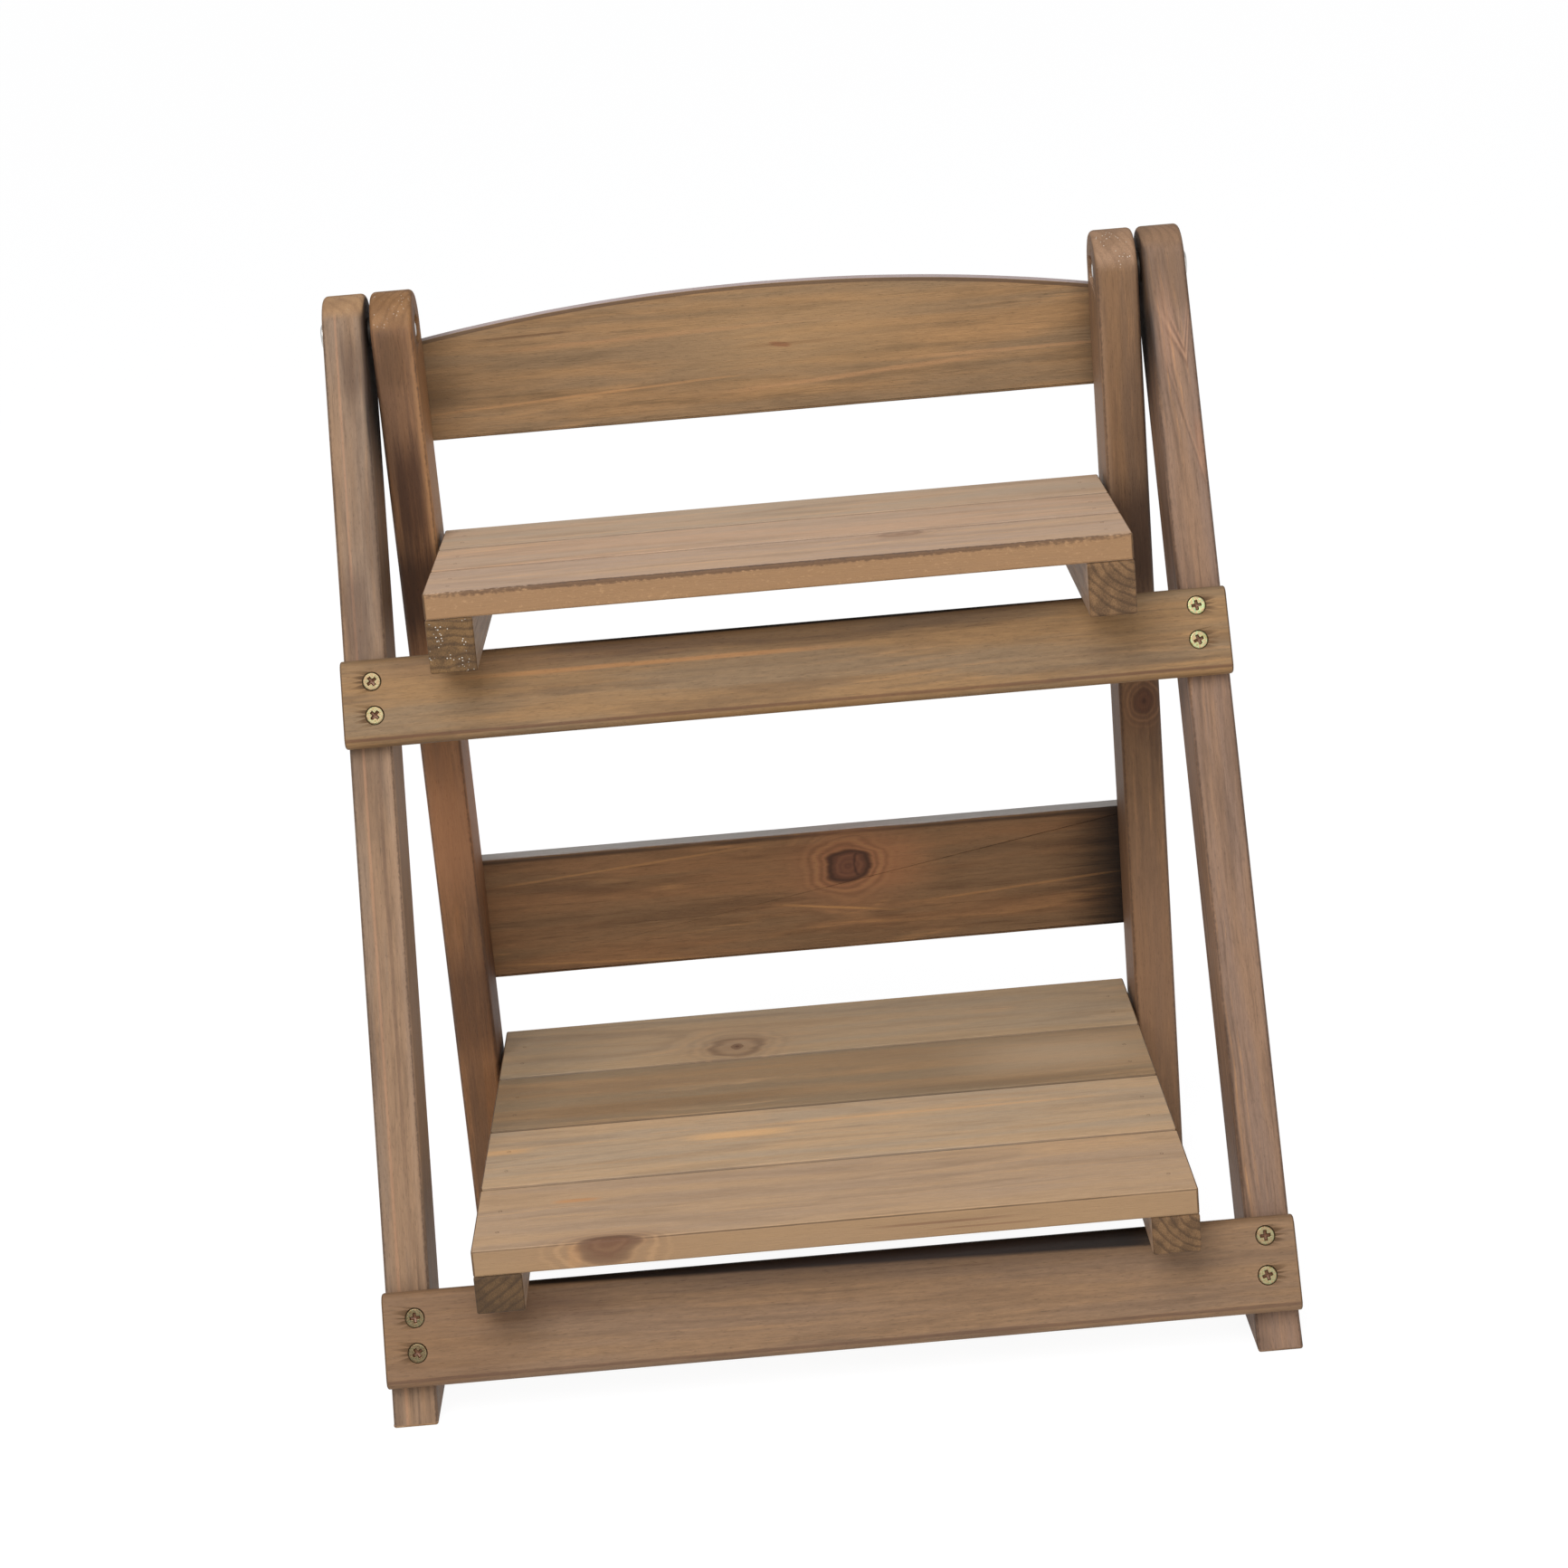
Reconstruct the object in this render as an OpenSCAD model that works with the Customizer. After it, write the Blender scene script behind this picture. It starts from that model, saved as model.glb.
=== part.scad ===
// Two-tier folding plant stand: a leaning front frame hinged at the top to a back frame,
// with two slatted shelves that hinge on the back frame and rest on the front crossbars.

/* [Frame] */
// overall width over the outer legs
stand_w = 400; // [360:1:440]
// height of the top pivot bolts above the floor
pivot_z = 452.7; // [450:0.1:455]
// lean of the front frame from the vertical, degrees
front_lean = 21.8; // [21.6:0.1:22]
// lean of the back frame from the vertical, degrees
back_lean = 3; // [2.8:0.1:3.2]
// leg thickness across the stand
leg_w = 19.7; // [18:0.1:21]
// leg depth, front to back
leg_d = 37.7; // [37.2:0.1:38.4]
// radius of the eased long edges of the legs
leg_ease = 2.4; // [1:0.1:4]
// gap between an outer leg and an inner leg, filled by a washer
leg_gap = 2.4; // [2:0.1:3]

/* [Crossbars and rails] */
// crossbar width over its ends
crossbar_w = 401; // [398:0.5:402]
// height of the middle crossbar, along the leg
mid_crossbar_h = 40; // [38:0.1:40.4]
// height of the bottom crossbar, along the leg
low_crossbar_h = 41.3; // [38:0.1:42]
// crossbar thickness
crossbar_t = 10.4; // [10:0.1:11]
// radius of the eased long edges of the crossbars
crossbar_ease = 4.5; // [4:0.1:5]
// distance down the front legs from the pivot to the top of the middle crossbar
mid_crossbar_s = 156.3; // [155.5:0.1:156.6]
// distance down the front legs from the pivot to the top of the bottom crossbar
low_crossbar_s = 436; // [435:0.1:437]
// distance down the back legs from the pivot to the straight bottom edge of the arched rail
arch_bottom_s = 59; // [57:0.5:62]
// height of the arched rail at its ends
arch_end_h = 45.5; // [38:0.5:48]
// height of the arched rail at its middle
arch_mid_h = 62.5; // [52:0.5:64]
// distance down the back legs from the pivot to the top of the lower back rail
back_rail_s = 274.3; // [270:0.1:278]
// height of the lower back rail
back_rail_h = 63.8; // [55:0.1:66]
// thickness of both rails
rail_t = 9.4; // [8:0.1:11]
// radius of the eased long edges of the lower back rail
rail_ease = 1.5; // [0.5:0.1:3]

/* [Shelves] */
// length of the shelf slats
slat_l = 312.6; // [305:0.1:313.4]
// slat thickness
slat_t = 12; // [11:0.1:12.2]
// gap between neighbouring slats
slat_gap = 1.2; // [0.5:0.1:3]
// radius of the eased long edges of the slats
slat_ease = 1.2; // [0.4:0.1:2]
// width of the bearers under the slats
bearer_w = 21; // [18:0.5:24]
// radius of the eased long edges of the bearers
bearer_ease = 1; // [0.4:0.1:2]
// bearer height under the upper shelf
upper_bearer_h = 24.6; // [22:0.1:24.8]
// bearer height under the lower shelf
lower_bearer_h = 17.5; // [16.5:0.1:20]
// front edge of the upper shelf, forward of the pivot
upper_front = 119.8; // [112:0.1:121]
// back edge of the upper shelf, behind the pivot
upper_back = 9.5; // [8:0.1:18]
// back end of the upper bearers, behind the pivot
upper_bearer_back = 19; // [14:0.5:22]
// front edge of the lower shelf, forward of the pivot
lower_front = 215.2; // [208:0.1:216]
// back edge of the lower shelf, behind the pivot
lower_back = 37.8; // [32:0.1:38.4]
// depth of the shelf pivots below the slat tops
shelf_pivot_d = 18; // [17.9:0.1:18.3]

/* [Fasteners] */
// radius of the top pivot bolts
bolt_r = 3; // [2.5:0.1:3.5]
// radius of the top pivot bolt heads
bolt_head_r = 7; // [6:0.1:8]
// height of the top pivot bolt heads
bolt_head_h = 2.4; // [1.5:0.1:3]
// radius of the recess round each nut in the inner legs
recess_r = 7.2; // [7:0.1:8]
// depth of the recess round each nut
recess_d = 7; // [6.5:0.1:8]
// radius of the wood screw heads
screw_head_r = 3.95; // [3.5:0.05:4.2]
// radius of the wood screw shanks
screw_r = 1.75; // [1.5:0.05:2]
// length of the wood screws
screw_l = 26; // [20:0.5:30]
// radius of the shelf pivot screws
shelf_pin_r = 3; // [2.5:0.1:3.2]
// radius of the slat nail heads
nail_head_r = 1.8; // [1.4:0.1:2.2]
// radius of the slat nails
nail_r = 0.9; // [0.7:0.1:1.1]
// length of the slat nails
nail_l = 24; // [20:0.5:28]

/* [Hidden] */
$fn = 64;
// small space between pieces that turn on one another
run_gap = 0.05;
// distance between a crossbar's top and the bearer that rests on it
rest_gap = 0.1;
// x of the outer and inner faces of each leg
outer_leg_x = stand_w / 2 - leg_w;
inner_leg_x = outer_leg_x - leg_gap - leg_w;
// rounded crossbar edge nearest the bearers, as a distance along and out from the leg
touch_h = leg_d / 2 + crossbar_t - crossbar_ease;
mid_touch_z = pivot_z - cos(front_lean) * (mid_crossbar_s + crossbar_ease)
    + sin(front_lean) * touch_h + crossbar_ease;
low_touch_z = pivot_z - cos(front_lean) * (low_crossbar_s + crossbar_ease)
    + sin(front_lean) * touch_h + crossbar_ease;
// height of each shelf's slat tops
upper_top = mid_touch_z + rest_gap + upper_bearer_h + slat_t;
lower_top = low_touch_z + rest_gap + lower_bearer_h + slat_t;
// shelf pivots lie on the centre line of the inner legs
upper_pin_z = upper_top - shelf_pivot_d;
lower_pin_z = lower_top - shelf_pivot_d;
upper_pin_y = tan(back_lean) * (pivot_z - upper_pin_z);
lower_pin_y = tan(back_lean) * (pivot_z - lower_pin_z);
// furthest point back, on the lower edge of the lower back rail
rail_edge_s = back_rail_s + back_rail_h - rail_ease;
rail_edge_h = leg_d / 2 + rail_t - rail_ease;
back_y = sin(back_lean) * rail_edge_s + cos(back_lean) * rail_edge_h + rail_ease;
// the origin is under the middle of the stand
pivot_y = (lower_front - back_y) / 2;
// length of leg that reaches past the floor before it is cut
leg_run = pivot_z / cos(front_lean) + leg_d;
// screw places: distance from the middle, then distance below the crossbar's top edge
mid_screw_places = [[-186.4, 10.6], [-186, 26], [186.6, 8.4], [186, 24]];
low_screw_places = [[-186.2, 11.4], [-186, 26.4], [187.2, 8], [186.4, 25]];
// rail screws: distance from the middle and distance down the leg
rail_screw_x = inner_leg_x + leg_w / 2;
arch_screw_s = [arch_bottom_s - 31, arch_bottom_s - 12];
back_screw_s = [back_rail_s + 16, back_rail_s + back_rail_h - 16];
// how far back from a slat's front edge its two nails stand, as shares of its width
nail_shares = [0.28, 0.62];
outer_leg_color = [0.62, 0.49, 0.38];
inner_leg_color = [0.55, 0.43, 0.33];
bar_color = [0.60, 0.46, 0.35];
slat_color = [0.72, 0.60, 0.49];
bearer_color = [0.66, 0.54, 0.44];
zinc_color = [0.80, 0.78, 0.62];
steel_color = [0.75, 0.75, 0.74];

// places its children in the front frame: origin at the pivot, -Z down the legs, -Y outward
module in_front_frame() {
    translate([0, pivot_y, pivot_z])
        rotate([-front_lean, 0, 0])
            children();
}

// places its children in the back frame: origin at the pivot, -Z down the legs, +Y outward
module in_back_frame() {
    translate([0, pivot_y, pivot_z])
        rotate([back_lean, 0, 0])
            children();
}

// flat rectangle with rounded corners, centred on the origin
module eased_rect(a, b, r) {
    square([a - 2 * r, b], center = true);
    square([a, b - 2 * r], center = true);
    for (i = [-1, 1])
        for (j = [-1, 1])
            translate([i * (a / 2 - r), j * (b / 2 - r)])
                circle(r = r);
}

// bar along X with eased long edges, centred on x = 0; y and z are its lower corner
module bar_x(l, y, z, d, h, r) {
    translate([-l / 2, y + d / 2, z + h / 2])
        rotate([90, 0, 90])
            linear_extrude(height = l)
                eased_rect(d, h, r);
}

// bar along Y with eased long edges, from y0 to y1; x and z are its lower corner
module bar_y(x, w, y0, y1, z, h, r) {
    translate([x + w / 2, y1, z + h / 2])
        rotate([90, 0, 0])
            linear_extrude(height = y1 - y0)
                eased_rect(w, h, r);
}

// round rod along X from x0 to x1 through y, z
module rod_x(x0, x1, r, y, z) {
    translate([x0, y, z])
        rotate([0, 90, 0])
            cylinder(r = r, h = x1 - x0);
}

// straight leg with a half-round top about the pivot; x is its lower face
module leg_blank(x) {
    translate([x + leg_w / 2, 0, -leg_run])
        linear_extrude(height = leg_run)
            eased_rect(leg_w, leg_d, leg_ease);
    rod_x(x, x + leg_w, leg_d / 2, 0, 0);
}

// everything above the floor
module above_floor() {
    translate([-stand_w, -stand_w, 0])
        cube([2 * stand_w, 2 * stand_w, 2 * stand_w]);
}

// wood screw along +Y with its flat head at y = 0, cut with a cross in the head
module wood_screw() {
    difference() {
        rotate([-90, 0, 0])
            rotate_extrude()
                polygon([[0, 0], [screw_head_r, 0], [screw_head_r, 0.3], [screw_r, 2.6],
                    [screw_r, screw_l - 4], [0, screw_l]]);
        for (turn = [0, 90])
            rotate([0, turn, 0])
                translate([-2.2, -1, -0.45])
                    cube([4.4, 2.6, 0.9]);
    }
}

// countersunk hole for a wood screw along +Y
module screw_hole() {
    rotate([-90, 0, 0])
        rotate_extrude()
            polygon([[0, -1], [screw_head_r + run_gap, -1], [screw_head_r + run_gap, 0.3],
                [screw_r + run_gap, 2.6 + run_gap], [screw_r + run_gap, screw_l - 4],
                [0, screw_l + 0.3]]);
}

// puts its children at every screw place of a crossbar whose top edge is s down the leg
module at_crossbar_screws(places, s) {
    for (place = places)
        in_front_frame()
            translate([place[0], -leg_d / 2 - crossbar_t, -s - place[1]])
                children();
}

// puts its children, turned to face forward, at the rail screws on one or both sides
module at_rail_screws(downs, sides) {
    for (side = sides)
        for (down = downs)
            in_back_frame()
                translate([side * rail_screw_x, leg_d / 2 + rail_t, -down])
                    rotate([0, 0, 180])
                        children();
}

module outer_leg(side) {
    x = side > 0 ? outer_leg_x : -outer_leg_x - leg_w;
    difference() {
        intersection() {
            in_front_frame()
                leg_blank(x);
            above_floor();
        }
        in_front_frame()
            rod_x(x - 1, x + leg_w + 1, bolt_r + run_gap, 0, 0);
        at_crossbar_screws(mid_screw_places, mid_crossbar_s)
            screw_hole();
        at_crossbar_screws(low_screw_places, low_crossbar_s)
            screw_hole();
    }
}

module inner_leg(side) {
    x = side > 0 ? inner_leg_x : -inner_leg_x - leg_w;
    blind = 14.5;
    pin_x = side > 0 ? inner_leg_x - 1 : -inner_leg_x - blind;
    nut_x = side > 0 ? inner_leg_x - 1 : -inner_leg_x - recess_d;
    difference() {
        intersection() {
            in_back_frame()
                leg_blank(x);
            above_floor();
        }
        in_back_frame()
            rod_x(x - 1, x + leg_w + 1, bolt_r + run_gap, 0, 0);
        in_back_frame()
            rod_x(nut_x, nut_x + recess_d + 1, recess_r, 0, 0);
        translate([0, pivot_y, 0]) {
            rod_x(pin_x, pin_x + blind + 1, shelf_pin_r + run_gap, upper_pin_y, upper_pin_z);
            rod_x(pin_x, pin_x + blind + 1, shelf_pin_r + run_gap, lower_pin_y, lower_pin_z);
        }
        at_rail_screws(arch_screw_s, [side])
            screw_hole();
        at_rail_screws(back_screw_s, [side])
            screw_hole();
    }
}

module left_outer_leg() {
    color(outer_leg_color)
        outer_leg(-1);
}

module right_outer_leg() {
    color(outer_leg_color)
        outer_leg(1);
}

module crossbar(s, h, places) {
    difference() {
        in_front_frame()
            bar_x(crossbar_w, -leg_d / 2 - crossbar_t, -s - h, crossbar_t, h, crossbar_ease);
        at_crossbar_screws(places, s)
            screw_hole();
    }
}

module mid_crossbar() {
    color(bar_color)
        crossbar(mid_crossbar_s, mid_crossbar_h, mid_screw_places);
}

module bottom_crossbar() {
    color(bar_color)
        crossbar(low_crossbar_s, low_crossbar_h, low_screw_places);
}

module mid_crossbar_screws() {
    color(zinc_color)
        at_crossbar_screws(mid_screw_places, mid_crossbar_s)
            wood_screw();
}

module bottom_crossbar_screws() {
    color(zinc_color)
        at_crossbar_screws(low_screw_places, low_crossbar_s)
            wood_screw();
}

// domed head on the outer face of the outer leg, shank through both legs
module pivot_bolts() {
    shank = 2 * leg_w + leg_gap - recess_d + 6.5;
    for (side = [-1, 1])
        color(steel_color)
            translate([side * stand_w / 2, pivot_y, pivot_z])
                rotate([0, side * 90, 0])
                    rotate_extrude()
                        polygon([[0, -shank], [bolt_r, -shank], [bolt_r, 0], [bolt_head_r, 0],
                            [bolt_head_r, 0.6 * bolt_head_h], [0.72 * bolt_head_r, bolt_head_h],
                            [0, bolt_head_h]]);
}

// washers that fill the gap between the outer and inner legs
module pivot_spacers() {
    for (side = [-1, 1])
        color(steel_color)
            translate([side * (inner_leg_x + leg_w + leg_gap / 2), pivot_y, pivot_z])
                rotate([0, 90, 0])
                    difference() {
                        cylinder(r = 7, h = leg_gap - 0.2, center = true);
                        cylinder(r = bolt_r + run_gap, h = leg_gap + 2, center = true);
                    }
}

// washers at the bottom of the recesses in the inner legs
module pivot_washers() {
    for (side = [-1, 1])
        color(steel_color)
            translate([side * (inner_leg_x + recess_d - 0.6), pivot_y, pivot_z])
                rotate([0, 90, 0])
                    difference() {
                        cylinder(r = 6, h = 1, center = true);
                        cylinder(r = bolt_r + run_gap, h = 3, center = true);
                    }
}

// six-sided nuts on the bolts inside the recesses
module pivot_nuts() {
    for (side = [-1, 1])
        color(steel_color)
            translate([side * (inner_leg_x + recess_d - 3.6), pivot_y, pivot_z])
                rotate([0, 90, 0])
                    difference() {
                        cylinder(r = 5.75, h = 4.8, center = true, $fn = 6);
                        cylinder(r = bolt_r + run_gap, h = 8, center = true);
                    }
}

module left_inner_leg() {
    color(inner_leg_color)
        inner_leg(-1);
}

module right_inner_leg() {
    color(inner_leg_color)
        inner_leg(1);
}

// board with a straight bottom edge and a top edge that rises in one arc
module arched_top_rail() {
    half = inner_leg_x + leg_w;
    rise = arch_mid_h - arch_end_h;
    arc_r = (half * half + rise * rise) / (2 * rise);
    color(bar_color)
        difference() {
            in_back_frame()
                translate([0, leg_d / 2 + rail_t, -arch_bottom_s])
                    rotate([90, 0, 0])
                        linear_extrude(height = rail_t)
                            intersection() {
                                translate([-half, 0])
                                    square([2 * half, arch_mid_h + 1]);
                                translate([0, arch_mid_h - arc_r])
                                    circle(r = arc_r, $fn = 1440);
                            }
            at_rail_screws(arch_screw_s, [-1, 1])
                screw_hole();
        }
}

module lower_back_rail() {
    color(bar_color)
        difference() {
            in_back_frame()
                bar_x(2 * (inner_leg_x + leg_w), leg_d / 2, -back_rail_s - back_rail_h,
                    rail_t, back_rail_h, rail_ease);
            at_rail_screws(back_screw_s, [-1, 1])
                screw_hole();
        }
}

module arched_rail_screws() {
    color(zinc_color)
        at_rail_screws(arch_screw_s, [-1, 1])
            wood_screw();
}

module back_rail_screws() {
    color(zinc_color)
        at_rail_screws(back_screw_s, [-1, 1])
            wood_screw();
}

// slat pitch of a shelf with n slats
function pitch(front, back, n) = (front + back + slat_gap) / n;

// puts its children at the nails of slat i, counted from the front, on the slat top
module at_nails(front, back, n, i, top, sides) {
    step = pitch(front, back, n);
    for (side = sides)
        for (share = nail_shares)
            translate([side * (slat_l / 2 - bearer_w / 2),
                    pivot_y - front + i * step + share * (step - slat_gap), top])
                children();
}

// nail with a small flat head, its top at the slat surface
module nail() {
    translate([0, 0, -1])
        cylinder(r = nail_head_r, h = 1);
    translate([0, 0, -nail_l])
        cylinder(r = nail_r, h = nail_l - 0.5);
}

module nail_hole() {
    translate([0, 0, -1.05])
        cylinder(r = nail_head_r + run_gap, h = 3);
    translate([0, 0, -nail_l - 0.3])
        cylinder(r = nail_r + run_gap, h = nail_l);
}

module slat(front, back, n, i, top) {
    step = pitch(front, back, n);
    color(slat_color)
        difference() {
            bar_x(slat_l, pivot_y - front + i * step, top - slat_t,
                step - slat_gap, slat_t, slat_ease);
            at_nails(front, back, n, i, top, [-1, 1])
                nail_hole();
        }
}

// bearer under n slats; end is its own back end, behind the pivot
module bearer(front, back, end, n, top, h, side, pin_y, pin_z) {
    x = side > 0 ? slat_l / 2 - bearer_w : -slat_l / 2;
    color(bearer_color)
        difference() {
            bar_y(x, bearer_w, pivot_y - front, pivot_y + end, top - slat_t - h, h, bearer_ease);
            rod_x(x - 1, x + bearer_w + 1, shelf_pin_r + run_gap, pivot_y + pin_y, pin_z);
            for (i = [0 : n - 1])
                at_nails(front, back, n, i, top, [side])
                    nail_hole();
        }
}

module shelf_nails(front, back, n, top) {
    color(steel_color)
        for (i = [0 : n - 1])
            at_nails(front, back, n, i, top, [-1, 1])
                nail();
}

// screws with a flat round head on the inside of a bearer and a plain shank into the leg
module shelf_pivots(pin_y, pin_z) {
    shank = bearer_w + inner_leg_x - slat_l / 2 + 14;
    for (side = [-1, 1])
        color(steel_color)
            translate([side * (slat_l / 2 - bearer_w), pivot_y + pin_y, pin_z])
                rotate([0, side * 90, 0])
                    rotate_extrude()
                        polygon([[0, -2.2], [3.6, -2.2], [5, -1.2], [5, 0], [shelf_pin_r, 0],
                            [shelf_pin_r, shank], [0, shank]]);
}

module upper_slat_front() {
    slat(upper_front, upper_back, 3, 0, upper_top);
}

module upper_slat_middle() {
    slat(upper_front, upper_back, 3, 1, upper_top);
}

module upper_slat_back() {
    slat(upper_front, upper_back, 3, 2, upper_top);
}

module upper_left_bearer() {
    bearer(upper_front, upper_back, upper_bearer_back, 3, upper_top, upper_bearer_h, -1,
        upper_pin_y, upper_pin_z);
}

module upper_right_bearer() {
    bearer(upper_front, upper_back, upper_bearer_back, 3, upper_top, upper_bearer_h, 1,
        upper_pin_y, upper_pin_z);
}

module upper_slat_nails() {
    shelf_nails(upper_front, upper_back, 3, upper_top);
}

module upper_shelf_pivots() {
    shelf_pivots(upper_pin_y, upper_pin_z);
}

module lower_slat_front() {
    slat(lower_front, lower_back, 4, 0, lower_top);
}

module lower_slat_mid_front() {
    slat(lower_front, lower_back, 4, 1, lower_top);
}

module lower_slat_mid_back() {
    slat(lower_front, lower_back, 4, 2, lower_top);
}

module lower_slat_back() {
    slat(lower_front, lower_back, 4, 3, lower_top);
}

module lower_left_bearer() {
    bearer(lower_front, lower_back, lower_back, 4, lower_top, lower_bearer_h, -1,
        lower_pin_y, lower_pin_z);
}

module lower_right_bearer() {
    bearer(lower_front, lower_back, lower_back, 4, lower_top, lower_bearer_h, 1,
        lower_pin_y, lower_pin_z);
}

module lower_slat_nails() {
    shelf_nails(lower_front, lower_back, 4, lower_top);
}

module lower_shelf_pivots() {
    shelf_pivots(lower_pin_y, lower_pin_z);
}

left_outer_leg();
right_outer_leg();
mid_crossbar();
bottom_crossbar();
mid_crossbar_screws();
bottom_crossbar_screws();
pivot_bolts();
pivot_spacers();
pivot_washers();
pivot_nuts();
left_inner_leg();
right_inner_leg();
arched_top_rail();
lower_back_rail();
arched_rail_screws();
back_rail_screws();
upper_slat_front();
upper_slat_middle();
upper_slat_back();
upper_left_bearer();
upper_right_bearer();
upper_slat_nails();
upper_shelf_pivots();
lower_slat_front();
lower_slat_mid_front();
lower_slat_mid_back();
lower_slat_back();
lower_left_bearer();
lower_right_bearer();
lower_slat_nails();
lower_shelf_pivots();
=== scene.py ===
import math
import bmesh
import bpy
import numpy as np
from mathutils import Matrix, Vector


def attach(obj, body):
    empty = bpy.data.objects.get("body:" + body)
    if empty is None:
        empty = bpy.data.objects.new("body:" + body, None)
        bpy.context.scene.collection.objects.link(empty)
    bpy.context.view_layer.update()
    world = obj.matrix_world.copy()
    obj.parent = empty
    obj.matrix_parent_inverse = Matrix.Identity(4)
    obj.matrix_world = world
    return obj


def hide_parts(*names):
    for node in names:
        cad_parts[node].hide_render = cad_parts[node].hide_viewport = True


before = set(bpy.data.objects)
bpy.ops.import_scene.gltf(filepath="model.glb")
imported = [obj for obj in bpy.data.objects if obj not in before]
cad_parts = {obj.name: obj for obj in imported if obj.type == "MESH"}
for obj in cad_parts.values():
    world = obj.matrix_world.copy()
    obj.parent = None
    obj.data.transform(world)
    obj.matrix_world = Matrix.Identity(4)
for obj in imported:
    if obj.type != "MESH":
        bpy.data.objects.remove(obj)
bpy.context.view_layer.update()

mm = 0.001

# the stand's own measures in millimetres, the same as in the solids
stand = {
    "pivotZ": 452.7, "pivotY": 84.685, "frontLean": 21.8, "backLean": 3.0,
    "legW": 19.7, "legD": 37.7, "outerX": 180.3, "innerX": 158.2,
    "crossbarW": 401.0, "crossbarT": 10.4, "railT": 9.4,
    "slatL": 312.6, "slatT": 12.0, "slatGap": 1.2, "bearerW": 21.0,
    "upperTop": 353.791, "lowerTop": 86.993,
}


# turns leg coordinates (x across, y out of the leg, z up the leg, from the pivot) into the stand's
# own, by a turn about X and a move to the pivot
def tilted(angle):
    c, s = math.cos(math.radians(angle)), math.sin(math.radians(angle))
    turn = np.array([[1, 0, 0], [0, c, -s], [0, s, c]])
    return turn, np.array([0, stand["pivotY"], stand["pivotZ"]])


# the two frames' places and bodies, and the place of both shelves
frontMount = (tilted(-stand["frontLean"]), "front_frame")
backMount = (tilted(stand["backLean"]), "back_frame")
levelPlace = (np.eye(3), np.array([0, stand["pivotY"], 0.0]))


# a closed outline through corner points; corner k is rounded with radius[k], and each straight run
# is cut into steps, so the outline can be made slightly uneven
def roundedOutline(corners, radius, step=6.0, arc=6):
    pts = np.array(corners, float)
    count = len(pts)
    out = []
    for k in range(count):
        p, a, b = pts[k], pts[k - 1], pts[(k + 1) % count]
        u, v = (a - p) / np.linalg.norm(a - p), (b - p) / np.linalg.norm(b - p)
        half = math.acos(np.clip(u @ v, -1, 1)) / 2
        cut = radius[k] / math.tan(half)
        mid = p + (u + v) / np.linalg.norm(u + v) * radius[k] / math.sin(half)
        start, end = p + u * cut - mid, p + v * cut - mid
        t = np.linspace(0, 1, arc + 1)[:, None]
        sweep = math.acos(np.clip(start @ end / radius[k] ** 2, -1, 1))
        out.append(mid + (np.sin((1 - t) * sweep) * start + np.sin(t * sweep) * end) / math.sin(sweep))
        follow = p + v * cut
        nextCut = radius[(k + 1) % count] / math.tan(cornerHalf(pts, (k + 1) % count))
        finish = b - v * nextCut
        run = np.linalg.norm(finish - follow)
        t = np.linspace(0, 1, max(1, int(run / step)) + 1)[1:-1]
        if run > 2:
            t = np.concatenate([[0.4 / run], t, [1 - 0.4 / run]])  # a point close to each arc's end
        out.append(follow + (finish - follow) * t[:, None])
    return np.vstack(out)


# half the inner angle of a polygon at corner k
def cornerHalf(pts, k):
    u = pts[k - 1] - pts[k]
    v = pts[(k + 1) % len(pts)] - pts[k]
    return math.acos(np.clip(u @ v / np.linalg.norm(u) / np.linalg.norm(v), -1, 1)) / 2


# unit normals of a counter-clockwise outline: the mean direction of the two runs at each point,
# turned a quarter clockwise
def outlineNormals(line):
    ahead, behind = np.roll(line, -1, 0) - line, line - np.roll(line, 1, 0)
    ahead /= np.linalg.norm(ahead, axis=1)[:, None]
    behind /= np.linalg.norm(behind, axis=1)[:, None]
    run = ahead + behind
    run /= np.linalg.norm(run, axis=1)[:, None]
    return np.stack([run[:, 1], -run[:, 0]], 1)


# smooth unevenness along an outline: a sum of five sine waves of its running length, from 0 to 1
def unevenness(line, seed):
    rng = np.random.default_rng(seed)
    gone = np.cumsum(np.linalg.norm(line - np.roll(line, 1, 0), axis=1))
    total = np.zeros(len(line))
    for waves in (3, 5, 9, 17, 31):
        total += np.sin(2 * math.pi * (waves * gone / gone[-1] + rng.random())) / waves ** 0.5
    return (total - total.min()) / (np.ptp(total) + 1e-9)


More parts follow.
